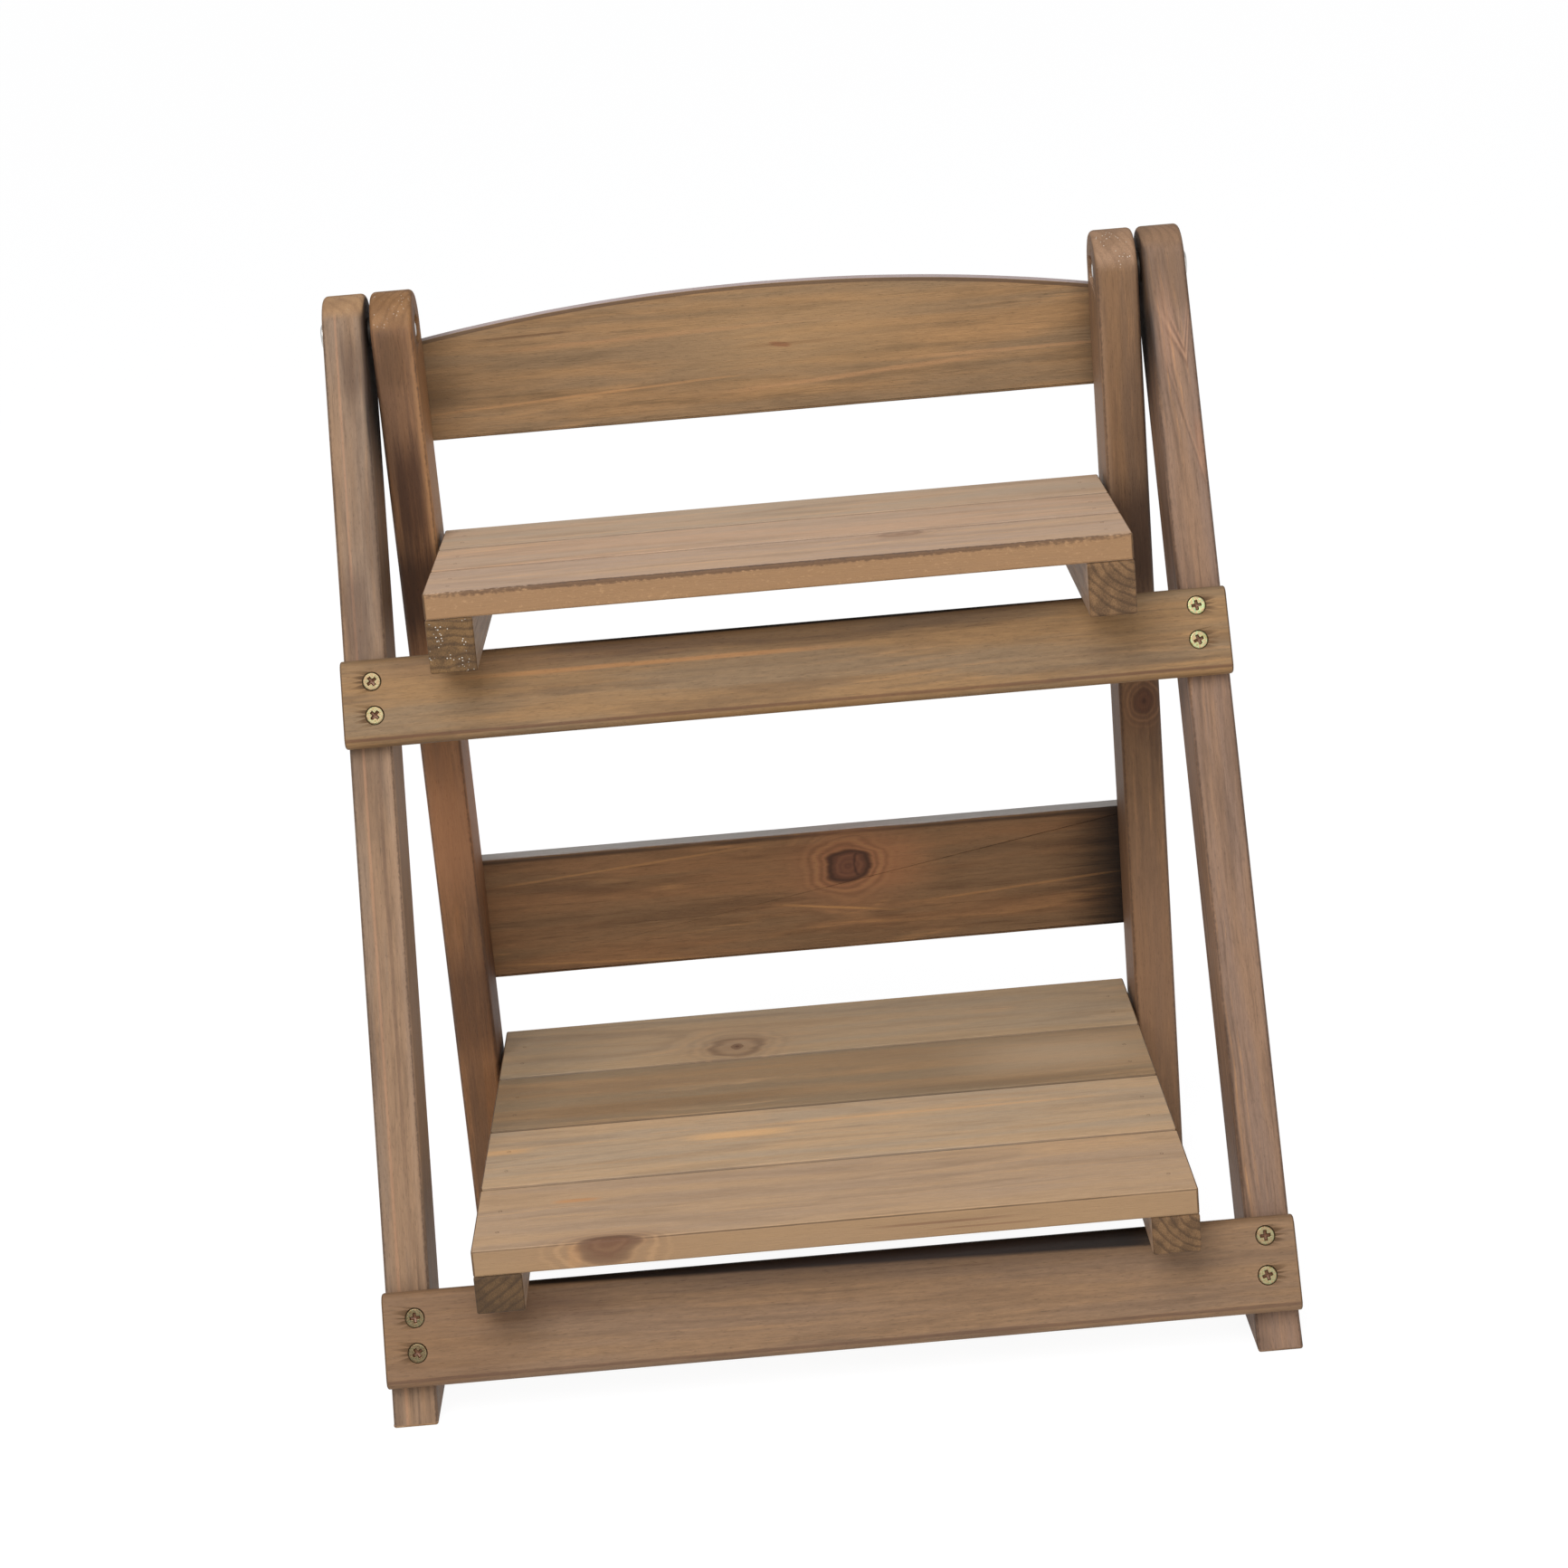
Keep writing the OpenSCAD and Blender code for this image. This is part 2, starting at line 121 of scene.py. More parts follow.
# board from an outline: the outline is repeated at a row of heights through the board's thickness;
# near both faces ring f steps in along the normals by ease(1 - cos f) while its height goes to the
# face by ease(1 - sin f), so every long edge is a quarter round; axes are the outline's two
# directions and the thickness direction, as columns
def easedBoard(name, line, ease, low, high, axes, mount, seed, uneven=0.15, bend=5):
    n = outlineNormals(line)
    if np.sum(line[:, 0] * np.roll(line[:, 1], -1) - np.roll(line[:, 0], -1) * line[:, 1]) < 0:
        line, n, ease = line[::-1], outlineNormals(line[::-1]), ease[::-1]
    line = line - n * (uneven * unevenness(line, seed))[:, None]
    angle = np.linspace(0, math.pi / 2, bend + 1)
    inset = np.concatenate([1 - np.sin(angle), 1 - np.cos(angle)])
    lift = np.concatenate([1 - np.cos(angle), 1 - np.sin(angle)])
    count, rings = len(line), 2 * (bend + 1)
    flat = line[None] - n[None] * (inset[:, None] * ease[None])[..., None]
    height = np.empty((rings, count))
    height[: bend + 1] = low + lift[: bend + 1, None] * ease[None]
    height[bend + 1:] = high - lift[bend + 1:, None] * ease[None]
    local = flat[..., :1] * axes[0] + flat[..., 1:] * axes[1] + height[..., None] * axes[2]
    (turn, move), body = mount
    verts = (local.reshape(-1, 3) @ turn.T + move) * mm
    ring = np.arange(rings - 1)[:, None] * count
    i = np.arange(count)[None]
    j = np.roll(i, -1, 1)
    quads = np.stack([ring + i, ring + j, ring + count + j, ring + count + i], -1).reshape(-1, 4)
    faces = quads.tolist() + [list(range(count))[::-1], list(range((rings - 1) * count, rings * count))]
    if np.linalg.det(np.array(axes)) < 0:
        faces = [f[::-1] for f in faces]
    addPiece(name, verts, faces, body)


# puts a mesh, a camera or a lamp into the scene
def linked(name, data):
    obj = bpy.data.objects.new(name, data)
    bpy.context.collection.objects.link(obj)
    return obj


# puts a mesh into the scene as one piece that rides on a body and stands for the CAD node of its name:
# leftOuterLeg stands for left_outer_leg
def addPiece(name, verts, faces, body):
    replaced = ["".join("_" + c.lower() if c.isupper() else c for c in name)]
    mesh = bpy.data.meshes.new(name)
    mesh.from_pydata(np.asarray(verts).tolist(), [], faces)
    mesh.update()
    mesh.polygons.foreach_set("use_smooth", np.ones(len(mesh.polygons), bool))
    obj = linked(name, mesh)
    weights = obj.modifiers.new("faceWeights", "WEIGHTED_NORMAL")
    weights.weight = 90
    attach(obj, body)
    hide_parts(*replaced)
    pieces[name] = obj


# cuts a mesh's faces of five corners or more into triangles
def triangulated(mesh):
    shape = bmesh.new()
    shape.from_mesh(mesh)
    bmesh.ops.triangulate(shape, faces=[face for face in shape.faces if len(face.verts) > 4])
    shape.to_mesh(mesh)
    shape.free()


across, outward, upward = np.eye(3)
pieces = {}
unrounded = 0.01  # radius of a corner that stays square

# legs: a straight run with a half-round top about the pivot and a foot cut level with the floor
legs = {
    "leftOuterLeg": {"x": -stand["outerX"] - stand["legW"], "mount": frontMount, "seed": 3},
    "rightOuterLeg": {"x": stand["outerX"], "mount": frontMount, "seed": 4},
    "leftInnerLeg": {"x": -stand["innerX"] - stand["legW"], "mount": backMount, "seed": 5},
    "rightInnerLeg": {"x": stand["innerX"], "mount": backMount, "seed": 6},
}
legEdge = {"long": 2.4, "foot": 1.2, "footCorner": 1.2, "footZone": -100}


# outline of a leg seen from the side: the foot line is where the leg meets z = 0, the sides are half
# the leg's depth from the pivot line, and the top is a half circle about the pivot
def legOutline(lean):
    half = stand["legD"] / 2
    slope = math.tan(math.radians(lean))
    reach = stand["pivotZ"] / math.cos(math.radians(lean))
    footY = np.array([-half, half])
    footZ = -reach - footY * slope
    turn = np.linspace(0, math.pi, 33)
    top = np.stack([half * np.cos(turn), half * np.sin(turn)], 1)
    straight = roundedOutline([[-half, 0], [-half, footZ[0]], [half, footZ[1]], [half, 0]],
                              [unrounded, legEdge["footCorner"], legEdge["footCorner"], unrounded])
    return np.vstack([top, straight[straight[:, 1] < -1.0]])


for name, leg in legs.items():
    outer = leg["mount"] is frontMount
    line = legOutline(-stand["frontLean"] if outer else stand["backLean"])
    footward = np.clip(-outlineNormals(line)[:, 1] * 1.2, 0, 1) * (line[:, 1] < legEdge["footZone"])
    ease = legEdge["long"] - (legEdge["long"] - legEdge["foot"]) * footward
    easedBoard(name, line, ease, leg["x"], leg["x"] + stand["legW"], (outward, upward, across), leg["mount"],
               leg["seed"])
print("legs made")

# crossbars on the front faces of the outer legs: strongly rounded long edges, square ends
crossbars = {
    "midCrossbar": {"top": 156.3, "height": 40.0, "seed": 11},
    "bottomCrossbar": {"top": 436.0, "height": 41.3, "seed": 12},
}
crossbarEdge = {"long": 4.5, "end": 1.0, "uneven": 0.12}
for name, bar in crossbars.items():
    half, face, top = stand["crossbarW"] / 2, -stand["legD"] / 2, -bar["top"]
    low, front = top - bar["height"], face - stand["crossbarT"]
    line = roundedOutline([[front, low], [face, low], [face, top], [front, top]], [crossbarEdge["long"]] * 4,
                          step=3.0, arc=10)
    easedBoard(name, line, np.full(len(line), crossbarEdge["end"]), -half, half, (outward, upward, across),
               frontMount, bar["seed"], crossbarEdge["uneven"])


# outline of a plain board, length by height, with its long edges eased by one radius and its ends by
# another
def boardOutline(x0, x1, z0, z1, edge):
    line = roundedOutline([[x0, z0], [x1, z0], [x1, z1], [x0, z1]], [edge["corner"]] * 4)
    normal = np.abs(outlineNormals(line)[:, 0])
    return line, edge["long"] + (edge["end"] - edge["long"]) * np.clip(normal * 1.3, 0, 1)


# rails on the back faces of the inner legs: a plain one, and one whose top is an arc
plainRail = {"bottom": -338.1, "top": -274.3, "corner": 1.3, "long": 1.7, "end": 1.4, "seed": 21}
arch = {"bottom": -59.0, "endH": 45.5, "midH": 62.5, "sideTop": -20, "corner": 1.2, "ease": 1.5, "seed": 22}
backHalf = stand["innerX"] + stand["legW"]
backFace = -stand["legD"] / 2
line, ease = boardOutline(-backHalf, backHalf, plainRail["bottom"], plainRail["top"], plainRail)
easedBoard("lowerBackRail", line, ease, backFace - stand["railT"], backFace, (across, upward, -outward),
           backMount, plainRail["seed"])
rise = arch["midH"] - arch["endH"]
archR = (backHalf ** 2 + rise ** 2) / (2 * rise)
x = np.linspace(backHalf, -backHalf, 90)
crown = np.stack([x, arch["bottom"] + arch["midH"] - archR + np.sqrt(archR ** 2 - x ** 2)], 1)
base = roundedOutline([[-backHalf, arch["sideTop"]], [-backHalf, arch["bottom"]], [backHalf, arch["bottom"]],
                       [backHalf, arch["sideTop"]]], [unrounded, arch["corner"], arch["corner"], unrounded])
line = np.vstack([crown, base[base[:, 1] < arch["sideTop"] - 1]])
easedBoard("archedTopRail", line, np.full(len(line), arch["ease"]), backFace - stand["railT"], backFace,
           (across, upward, -outward), backMount, arch["seed"])
print("crossbars and rails made")

# shelves: slats from front to back on two bearers
shelves = {
    "upper": {"top": stand["upperTop"], "front": 119.8, "back": 9.5, "end": 19.0, "bearerH": 24.6,
              "slats": ["Front", "Middle", "Back"], "slatSeed": 66, "bearerSeed": 61, "shift": 35,
              "tint": (1.18, 1.2, 1.25)},
    "lower": {"top": stand["lowerTop"], "front": 215.2, "back": 37.8, "end": 37.8, "bearerH": 17.5,
              "slats": ["Front", "MidFront", "MidBack", "Back"], "slatSeed": 75, "bearerSeed": 66,
              "shift": 66, "tint": (1.0, 1.03, 1.06)},
}
slatEdge = {"corner": 1.4, "long": 1.2, "end": 0.8, "uneven": 0.12}
bearerEdge = {"corner": 1.3, "ease": 1.1, "uneven": 0.1}
nailShares = (0.28, 0.62)  # places of the nails across a slat, from its front
nailSpots = {"upper": [], "lower": []}
sides = {"Left": -1, "Right": 1}


# a slat's width and one gap
def slatPitch(s):
    return (s["front"] + s["back"] + stand["slatGap"]) / len(s["slats"])


for shelf, s in shelves.items():
    width = slatPitch(s) - stand["slatGap"]
    half, under = stand["slatL"] / 2, s["top"] - stand["slatT"]
    mount = (levelPlace, shelf + "_shelf")
    for k, part in enumerate(s["slats"]):
        y0 = -s["front"] + k * slatPitch(s)
        line, ease = boardOutline(-half, half, y0, y0 + width, slatEdge)
        easedBoard(shelf + "Slat" + part, line, ease, under, s["top"], (across, outward, upward), mount,
                   s["slatSeed"] + k, slatEdge["uneven"])
        nailSpots[shelf] += [(side * (half - stand["bearerW"] / 2), y0 + share * width, s["top"])
                             for side in (-1, 1) for share in nailShares]
    bottom = under - s["bearerH"]
    line = roundedOutline([[-s["front"], bottom], [s["end"], bottom], [s["end"], under],
                           [-s["front"], under]], [bearerEdge["corner"]] * 4)
    for side, sign in sides.items():
        x0 = half - stand["bearerW"] if sign > 0 else -half
        easedBoard(f"{shelf}{side}Bearer", line, np.full(len(line), bearerEdge["ease"]), x0,
                   x0 + stand["bearerW"], (outward, upward, across), mount,
                   s["bearerSeed"] + sign, bearerEdge["uneven"])
print("shelves made")


# round holes with flat floors, cut out of a piece one after another; a hole is its middle on the
# surface, the way into the wood, a radius and a depth, all in millimetres
def drilled(piece, holes):
    triangulated(piece.data)
    weights = piece.modifiers["faceWeights"]
    weights.show_viewport = False
    for middle, inward, radius, depth in holes:
        bpy.ops.mesh.primitive_cylinder_add(vertices=64, radius=radius * mm, depth=2 * depth * mm,
                                            location=np.array(middle) * mm,
                                            rotation=Vector(inward).to_track_quat("Z", "Y").to_euler())
        cutter = bpy.context.object
        cut = piece.modifiers.new("hole", "BOOLEAN")
        cut.object = cutter
        cut.solver = "MANIFOLD"
        shown = piece.evaluated_get(bpy.context.evaluated_depsgraph_get())
        done = bpy.data.meshes.new_from_object(shown)
        piece.modifiers.remove(cut)
        piece.data = done
        triangulated(done)
        bpy.data.objects.remove(cutter)
    piece.data.set_sharp_from_angle(angle=math.radians(50))
    weights.show_viewport = True


# recess round each pivot nut, in the inner face of the inner legs
nutRecess = {"radius": 7.2, "depth": 7.0}
for side, sign in sides.items():
    middle = (sign * stand["innerX"], stand["pivotY"], stand["pivotZ"])
    recess = (middle, (sign, 0, 0), nutRecess["radius"], nutRecess["depth"])
    drilled(pieces[side.lower() + "InnerLeg"], [recess])

screwShape = {
    "radius": 4.2, "crown": 0.16, "rimFrom": 0.86, "rimDrop": 0.5, "neck": 0.96, "neckDown": 0.9,
    "tipDown": 3.0, "armHalf": 0.6, "armReach": 2.3, "armDeep": 1.7, "wallWide": 0.16, "endWide": 0.35,
    "floorRise": 0.35, "boreRadius": 4.4, "boreDepth": 2.6,
}


# screw head: a height over a disc, in polar rows and turns; the face is nearly flat with a rounded
# rim, and the cross is cut where a point lies within an arm's half width, deeper towards the middle
def screwHead(turnBy, clearOfTarnishAndShade, rows=26, turns=120):
    h = screwShape
    r = np.linspace(0, 1, rows) ** 0.9 * h["radius"]
    t = np.arange(turns) * 2 * math.pi / turns
    rr, tt = np.meshgrid(r[1:], t, indexing="ij")
    px, py = rr * np.cos(tt), rr * np.sin(tt)
    c, s = math.cos(turnBy), math.sin(turnBy)
    ax, ay = np.abs(px * c + py * s), np.abs(-px * s + py * c)
    long, short = np.maximum(ax, ay), np.minimum(ax, ay)
    wall = np.clip((h["armHalf"] - short) / h["wallWide"] + 0.5, 0, 1)
    wall *= np.clip((h["armReach"] - long) / h["endWide"], 0, 1)
    rim = np.clip((rr / h["radius"] - h["rimFrom"]) / (1 - h["rimFrom"]), 0, 1)
    z = h["crown"] - h["rimDrop"] * rim ** 2
    z -= h["armDeep"] * wall * (1 - h["floorRise"] * long / h["armReach"])
    middle = [[0, 0, h["crown"] - h["armDeep"]]]
    top = np.stack([px, py, z], -1).reshape(-1, 3)
    neck = h["radius"] * h["neck"]
    skirt = np.stack([neck * np.cos(t), neck * np.sin(t), np.full(turns, -h["neckDown"])], 1)
    verts = np.vstack([middle, top, skirt, [[0, 0, -h["tipDown"]]]])
    deep = np.concatenate([[1.0], wall.ravel(), np.zeros(turns + 1)])
    return verts, domeFaces(rows, turns), deep, np.full(len(verts), clearOfTarnishAndShade)


# faces of a closed round shape: a fan about the middle point, quads between the rings of turns points
# (there are rows of them, and the last is the skirt), and a fan to the tip
def domeFaces(rows, turns):
    i = np.arange(turns)
    j = np.roll(i, -1)
    fan = np.stack([np.zeros(turns, int), 1 + i, 1 + j], 1).tolist()
    ring = (1 + np.arange(rows - 1) * turns)[:, None]
    quads = np.stack([ring + i, ring + turns + i, ring + turns + j, ring + j], -1).reshape(-1, 4).tolist()
    last = 1 + (rows - 1) * turns
    end = np.stack([last + i, np.full(turns, last + turns), last + j], 1).tolist()
    return fan + quads + end


# several copies of one small shape in a single mesh; each is turned and moved to its own spot
def scattered(name, shapes, body):
    verts, faces, deep, clearOfTarnishAndShade, start = [], [], [], [], 0
    for (v, f, d, bright), turn, move in shapes:
        verts.append(v @ np.array(turn).T + move)
        faces += [[start + k for k in face] for face in f]
        deep.append(d)
        clearOfTarnishAndShade.append(bright)
        start += len(v)
    addPiece(name, np.vstack(verts) * mm, faces, body)
    for key, value in (("recess", deep), ("clearOfTarnishAndShade", clearOfTarnishAndShade)):
        held = pieces[name].data.attributes.new(key, "FLOAT", "POINT")
        held.data.foreach_set("value", np.concatenate(value))


# screws: across, down from the bar's top edge, turn of the cross, and how clear the plating is of tarnish
# and of painted shade; low values darken screws that lie in shade
screwSpots = {
    "midCrossbarScrews": [[-186.4, 10.6, 0.6, 0.2], [-186, 26, 0.8, 0.3], [186.6, 8.4, 0.1, 1.0],
                          [186, 24, 0.35, 0.8]],
    "bottomCrossbarScrews": [[-186.2, 11.4, 0.1, 0.2], [-186, 26.4, 0.55, 0.15], [187.2, 8, 0.05, 0.3],
                             [186.4, 25, 0.25, 0.4]],
}
railScrews = {
    "archedRailScrews": {"rail": "archedTopRail", "downs": [28.0, 47.0]},
    "backRailScrews": {"rail": "lowerBackRail", "downs": [290.3, 322.1]},
}
railScrewLook = {"turn": 0.3, "clearOfTarnishAndShade": 0.6}


# drills a board at each screw's place and puts the heads in as one piece
def screwed(name, board, shapes, body):
    bores = [(at, face @ [0, 0, -1.0], screwShape["boreRadius"], screwShape["boreDepth"])
             for _, face, at in shapes]
    drilled(pieces[board], bores)
    scattered(name, shapes, body)


turn, move = frontMount[0]
face = turn @ np.stack([across, upward, -outward], 1)
for name, spots in screwSpots.items():
    board = name.removesuffix("Screws")
    y, top = -stand["legD"] / 2 - stand["crossbarT"], crossbars[board]["top"]
    shapes = [(screwHead(spin, clearOfTarnishAndShade), face, turn @ np.array([px, y, -top - down]) + move)
              for px, down, spin, clearOfTarnishAndShade in spots]
    screwed(name, board, shapes, frontMount[1])
turn, move = backMount[0]
face = turn @ np.stack([-across, upward, outward], 1)
for name, s in railScrews.items():
    x, y = stand["innerX"] + stand["legW"] / 2, stand["legD"] / 2 + stand["railT"] - screwShape["crown"]
    shapes = [(screwHead(railScrewLook["turn"] + k, railScrewLook["clearOfTarnishAndShade"]), face,
               turn @ np.array([side * x, y, -down]) + move)
              for side in (-1, 1) for k, down in enumerate(s["downs"])]
    screwed(name, s["rail"], shapes, backMount[1])

nailShape = {"radius": 0.8, "dish": 0.03, "sunk": 0.01, "neck": 0.9, "neckDown": 0.8, "tipDown": 1.5}


# nail head: a small shallow dish, its height a parabola of the distance from its middle
def nailHead(turns=20):
    n = nailShape
    t = np.arange(turns) * 2 * math.pi / turns
    circle = np.stack([np.cos(t), np.sin(t)], 1) * n["radius"]
    rows = [np.column_stack([circle * k, np.full(turns, n["dish"] * k * k - n["sunk"])]) for k in (0.5, 1.0)]
    skirt = np.column_stack([circle * n["neck"], np.full(turns, -n["neckDown"])])
    verts = np.vstack([[[0, 0, -n["sunk"]]], *rows, skirt, [[0, 0, -n["tipDown"]]]])
    return verts, domeFaces(len(rows) + 1, turns), np.zeros(len(verts)), np.ones(len(verts))


for shelf, spots in nailSpots.items():
    shapes = [(nailHead(), np.eye(3), np.array([x, y + stand["pivotY"], z - nailShape["sunk"]]))
              for x, y, z in spots]
    scattered(shelf + "SlatNails", shapes, shelf + "_shelf")
print("screws and nails made")


# a short way to add shader nodes to a material or a world: each call makes one node and links or sets
# its inputs
class Shader:
    def __init__(self, owner):
        owner.use_nodes = True
        self.owner = owner
        self.tree = owner.node_tree
        self.tree.nodes.clear()

    def node(self, kind, inputs=None, **settings):
        made = self.tree.nodes.new("ShaderNode" + kind)
        for key, value in settings.items():
            setattr(made, key, value)
        for key, value in (inputs or {}).items():
            self.put(made.inputs[key], value)
        return made

    def put(self, socket, value):
        if isinstance(value, bpy.types.NodeSocket):
            self.tree.links.new(value, socket)
        elif value is not None:
            socket.default_value = value

    def math(self, op, a, b=None, c=None):
        made = self.tree.nodes.new("ShaderNodeMath")
        made.operation = op
        for socket, value in zip(made.inputs, (a, b, c)):
            self.put(socket, value)
        return made.outputs[0]

    def times(self, a, b):
        return self.math("MULTIPLY", a, b)

    def most(self, a, b):
        return self.math("MAXIMUM", a, b)

    def least(self, a, b):
        return self.math("MINIMUM", a, b)

    # a noise's distance from its mean of one half, times by, added to a value
    def sway(self, noise, by, value):
        return self.math("MULTIPLY_ADD", self.math("SUBTRACT", noise, 0.5), by, value)

    def vector(self, op, a, b=None, scale=None):
        made = self.tree.nodes.new("ShaderNodeVectorMath")
        made.operation = op
        self.put(made.inputs[0], a)
        self.put(made.inputs[1], b)
        self.put(made.inputs[3], scale)
        return made.outputs["Value" if op in ("LENGTH", "DOT_PRODUCT") else 0]

    def noise(self, vector, scale, detail=2.0, roughness=0.5, output=0):
        stretched = self.vector("MULTIPLY", vector, scale)
        made = self.node("TexNoise", {"Vector": stretched, "Scale": 1.0, "Detail": detail,
                                      "Roughness": roughness})
        return made.outputs[output]

    # a value's place between low and high, smoothed, as 0 to 1
    def rise(self, value, low, high):
        made = self.node("MapRange", {"Value": value, "From Min": low, "From Max": high},
                         interpolation_type="SMOOTHSTEP")
        return made.outputs[0]

    # the same from 1 down to 0
    def fall(self, value, low, high):
        return self.math("SUBTRACT", 1.0, self.rise(value, low, high))

    # 1 between a rise and a fall, each from its first number to its second
    def band(self, value, up, down):
        return self.times(self.rise(value, *up), self.fall(value, *down))

    def mix(self, factor, a, b):
        made = self.tree.nodes.new("ShaderNodeMix")
        made.data_type = "RGBA"
        made.clamp_factor = True
        self.put(made.inputs[0], factor)
        self.put(made.inputs[6], a)
        self.put(made.inputs[7], b)
        return made.outputs[2]


# colour as written in a paint program, made linear
def tone(red, green, blue):
    c = np.array([red, green, blue]) / 255
    lin = np.where(c <= 0.04045, c / 12.92, ((c + 0.055) / 1.055) ** 2.4)
    return (*[float(v) for v in lin], 1.0)


# a mark seen on one board alone: its middle and half sizes along, wide and thick in centimetres, where
# a size of 0 sets no limit, its colour and how strongly it shows. Its line climbs by lean along the
# board and bows by the square of the way along, or is bent to a V: from the tip (the first number) its
# two arms climb by the other two times the way aside. Its border is ragged by streaks (rag) and by
# fine grit, and soft
def markAt(at, size, color, show, lean=0.0, bow=0.0, vee=(0.0, 0.0, 0.0), rag=0.7, soft=0.6, grit=0.0,
           square=False):
    return {"at": at, "size": size, "color": tone(*color), "show": show, "lean": lean, "bow": bow,
            "vee": vee, "rag": rag, "soft": soft, "grit": grit, "square": square}


# a knot: its middle and half sizes likewise, how far it pushes the rings aside, and how dark its
# inside, rim, surroundings and core are; the core is as dark as the inside unless it is given
def knotAt(at, size, push, heart, rim, halo, core=None):
    return {"at": at, "size": size, "push": push, "heart": heart, "rim": rim, "halo": halo,
            "core": heart if core is None else core}


# stained pine. In centimetres along the grain, across and through the board: growth rings are the
# distance from a pith line, bent by slow noise and pushed aside round knots; pale late wood follows
# the rings, and fibres, streaks, blotches, marks, edge stain and end grain lie over them
def stainedPine(name, spec):
    s = Shader(bpy.data.materials.new(name))
    coords = s.node("TexCoord")
    turn = Matrix([list(v) for v in spec["axes"]])
    place = s.node("Mapping", {"Vector": coords.outputs["Object"], "Rotation": turn.to_euler(),
                               "Location": -(turn @ Vector(spec["origin"]))})
    local = s.vector("SCALE", place.outputs[0], scale=100.0)  # metres to centimetres
    shifted = s.vector("ADD", local, spec["shift"])
    along, wide, thick = s.node("SeparateXYZ", {0: local}).outputs
    bend = s.node("SeparateXYZ", {0: s.noise(shifted, (0.05, 0.3, 0.3), output=1)}).outputs
    ripple = s.noise(shifted, (0.35, 1.6, 1.6))
    wideBent = s.math("SUBTRACT", s.sway(bend[0], spec["warp"], wide), spec["pith"][0])
    thickBent = s.math("SUBTRACT", s.sway(bend[1], spec["warp"], thick), spec["pith"][1])
    fromPith = s.node("CombineXYZ", {0: 0.0, 1: wideBent, 2: thickBent}).outputs[0]
    rings = s.math("MULTIPLY_ADD", along, spec["taper"], s.vector("LENGTH", fromPith))
    rings = s.math("MULTIPLY_ADD", ripple, 0.12, rings)
    heart, rim, core, halo, pale, dusk = 0.0, 0.0, 0.0, 0.0, 0.0, 0.0
    for knot in spec["knots"]:
        off = s.vector("MULTIPLY", s.vector("SUBTRACT", local, knot["at"]), [1 / v for v in knot["size"]])
        away = s.sway(ripple, 0.9, s.vector("LENGTH", off))
        near = s.math("POWER", 2.718, s.times(s.times(away, away), -0.2))
        rings = s.math("MULTIPLY_ADD", near, knot["push"], rings)
        circles = s.math("MULTIPLY_ADD", s.math("SINE", s.times(away, 19.0)), 0.1, 0.9)
        heart = s.most(heart, s.times(s.times(circles, s.fall(away, 0.65, 1.1)), knot["heart"]))
        rim = s.most(rim, s.times(s.band(away, (0.6, 0.95), (0.98, 1.35)), knot["rim"]))
        core = s.most(core, s.times(s.fall(away, 0.12, 0.4), knot["core"]))
        halo = s.most(halo, s.times(near, knot["halo"]))
        belt = s.times(s.band(away, (1.05, 1.3), (1.5, 2.8)), knot["halo"])
        swing = s.times(s.math("SINE", s.times(away, 12.0)), belt)
        pale = s.most(pale, swing)
        dusk = s.most(dusk, s.times(swing, -1.0))
    phase = s.math("FRACT", s.math("DIVIDE", rings, spec["spacing"]))
    late = s.band(phase, (0.56, 0.8), (0.84, 0.93))
    late = s.times(late, s.rise(s.noise(shifted, (0.5, 9.0, 9.0), 4.0, 0.7), 0.34, 0.66))
    broad = s.noise(shifted, (0.07, 0.9, 0.9), 3.0, 0.55)
    streak = s.noise(shifted, (0.2, 6.5, 6.5), 6.0, 0.7)
    fleck = s.noise(shifted, (1.3, 8.5, 8.5), 5.0, 0.75)
    fibre = s.noise(shifted, (0.8, 17.0, 17.0), 3.0, 0.75)
    blotch = s.noise(shifted, (0.11, 1.1, 1.1), 3.0, 0.6)
    grit = s.noise(shifted, (4.5, 7.0, 7.0), 3.0, 0.7)
    pore = s.noise(shifted, (3.2, 26.0, 26.0), 1.0)
    color = s.mix(s.rise(broad, 0.36, 0.64), spec["cool"], spec["warm"])
    shows = s.rise(s.noise(shifted, (0.09, 0.6, 0.6)), 0.42, 0.66)
    color = s.mix(s.times(s.times(late, shows), spec["lateShow"]), color, spec["late"])
    early = s.band(phase, (0.22, 0.46), (0.5, 0.6))
    color = s.mix(s.times(s.times(early, shows), spec["earlyShow"]), color, spec["dark"])
    gold = s.times(s.rise(streak, 0.58, 0.72), s.rise(blotch, 0.45, 0.65))
    color = s.mix(s.times(gold, spec["gold"]), color, spec["late"])
    color = s.mix(s.times(s.fall(streak, 0.3, 0.47), spec["streak"]), color, spec["dark"])
    color = s.mix(s.times(s.fall(blotch, 0.34, 0.52), spec["blotch"]), color, spec["dark"])
    color = s.vector("SCALE", color, scale=s.sway(fleck, spec["fleck"], 1.0))
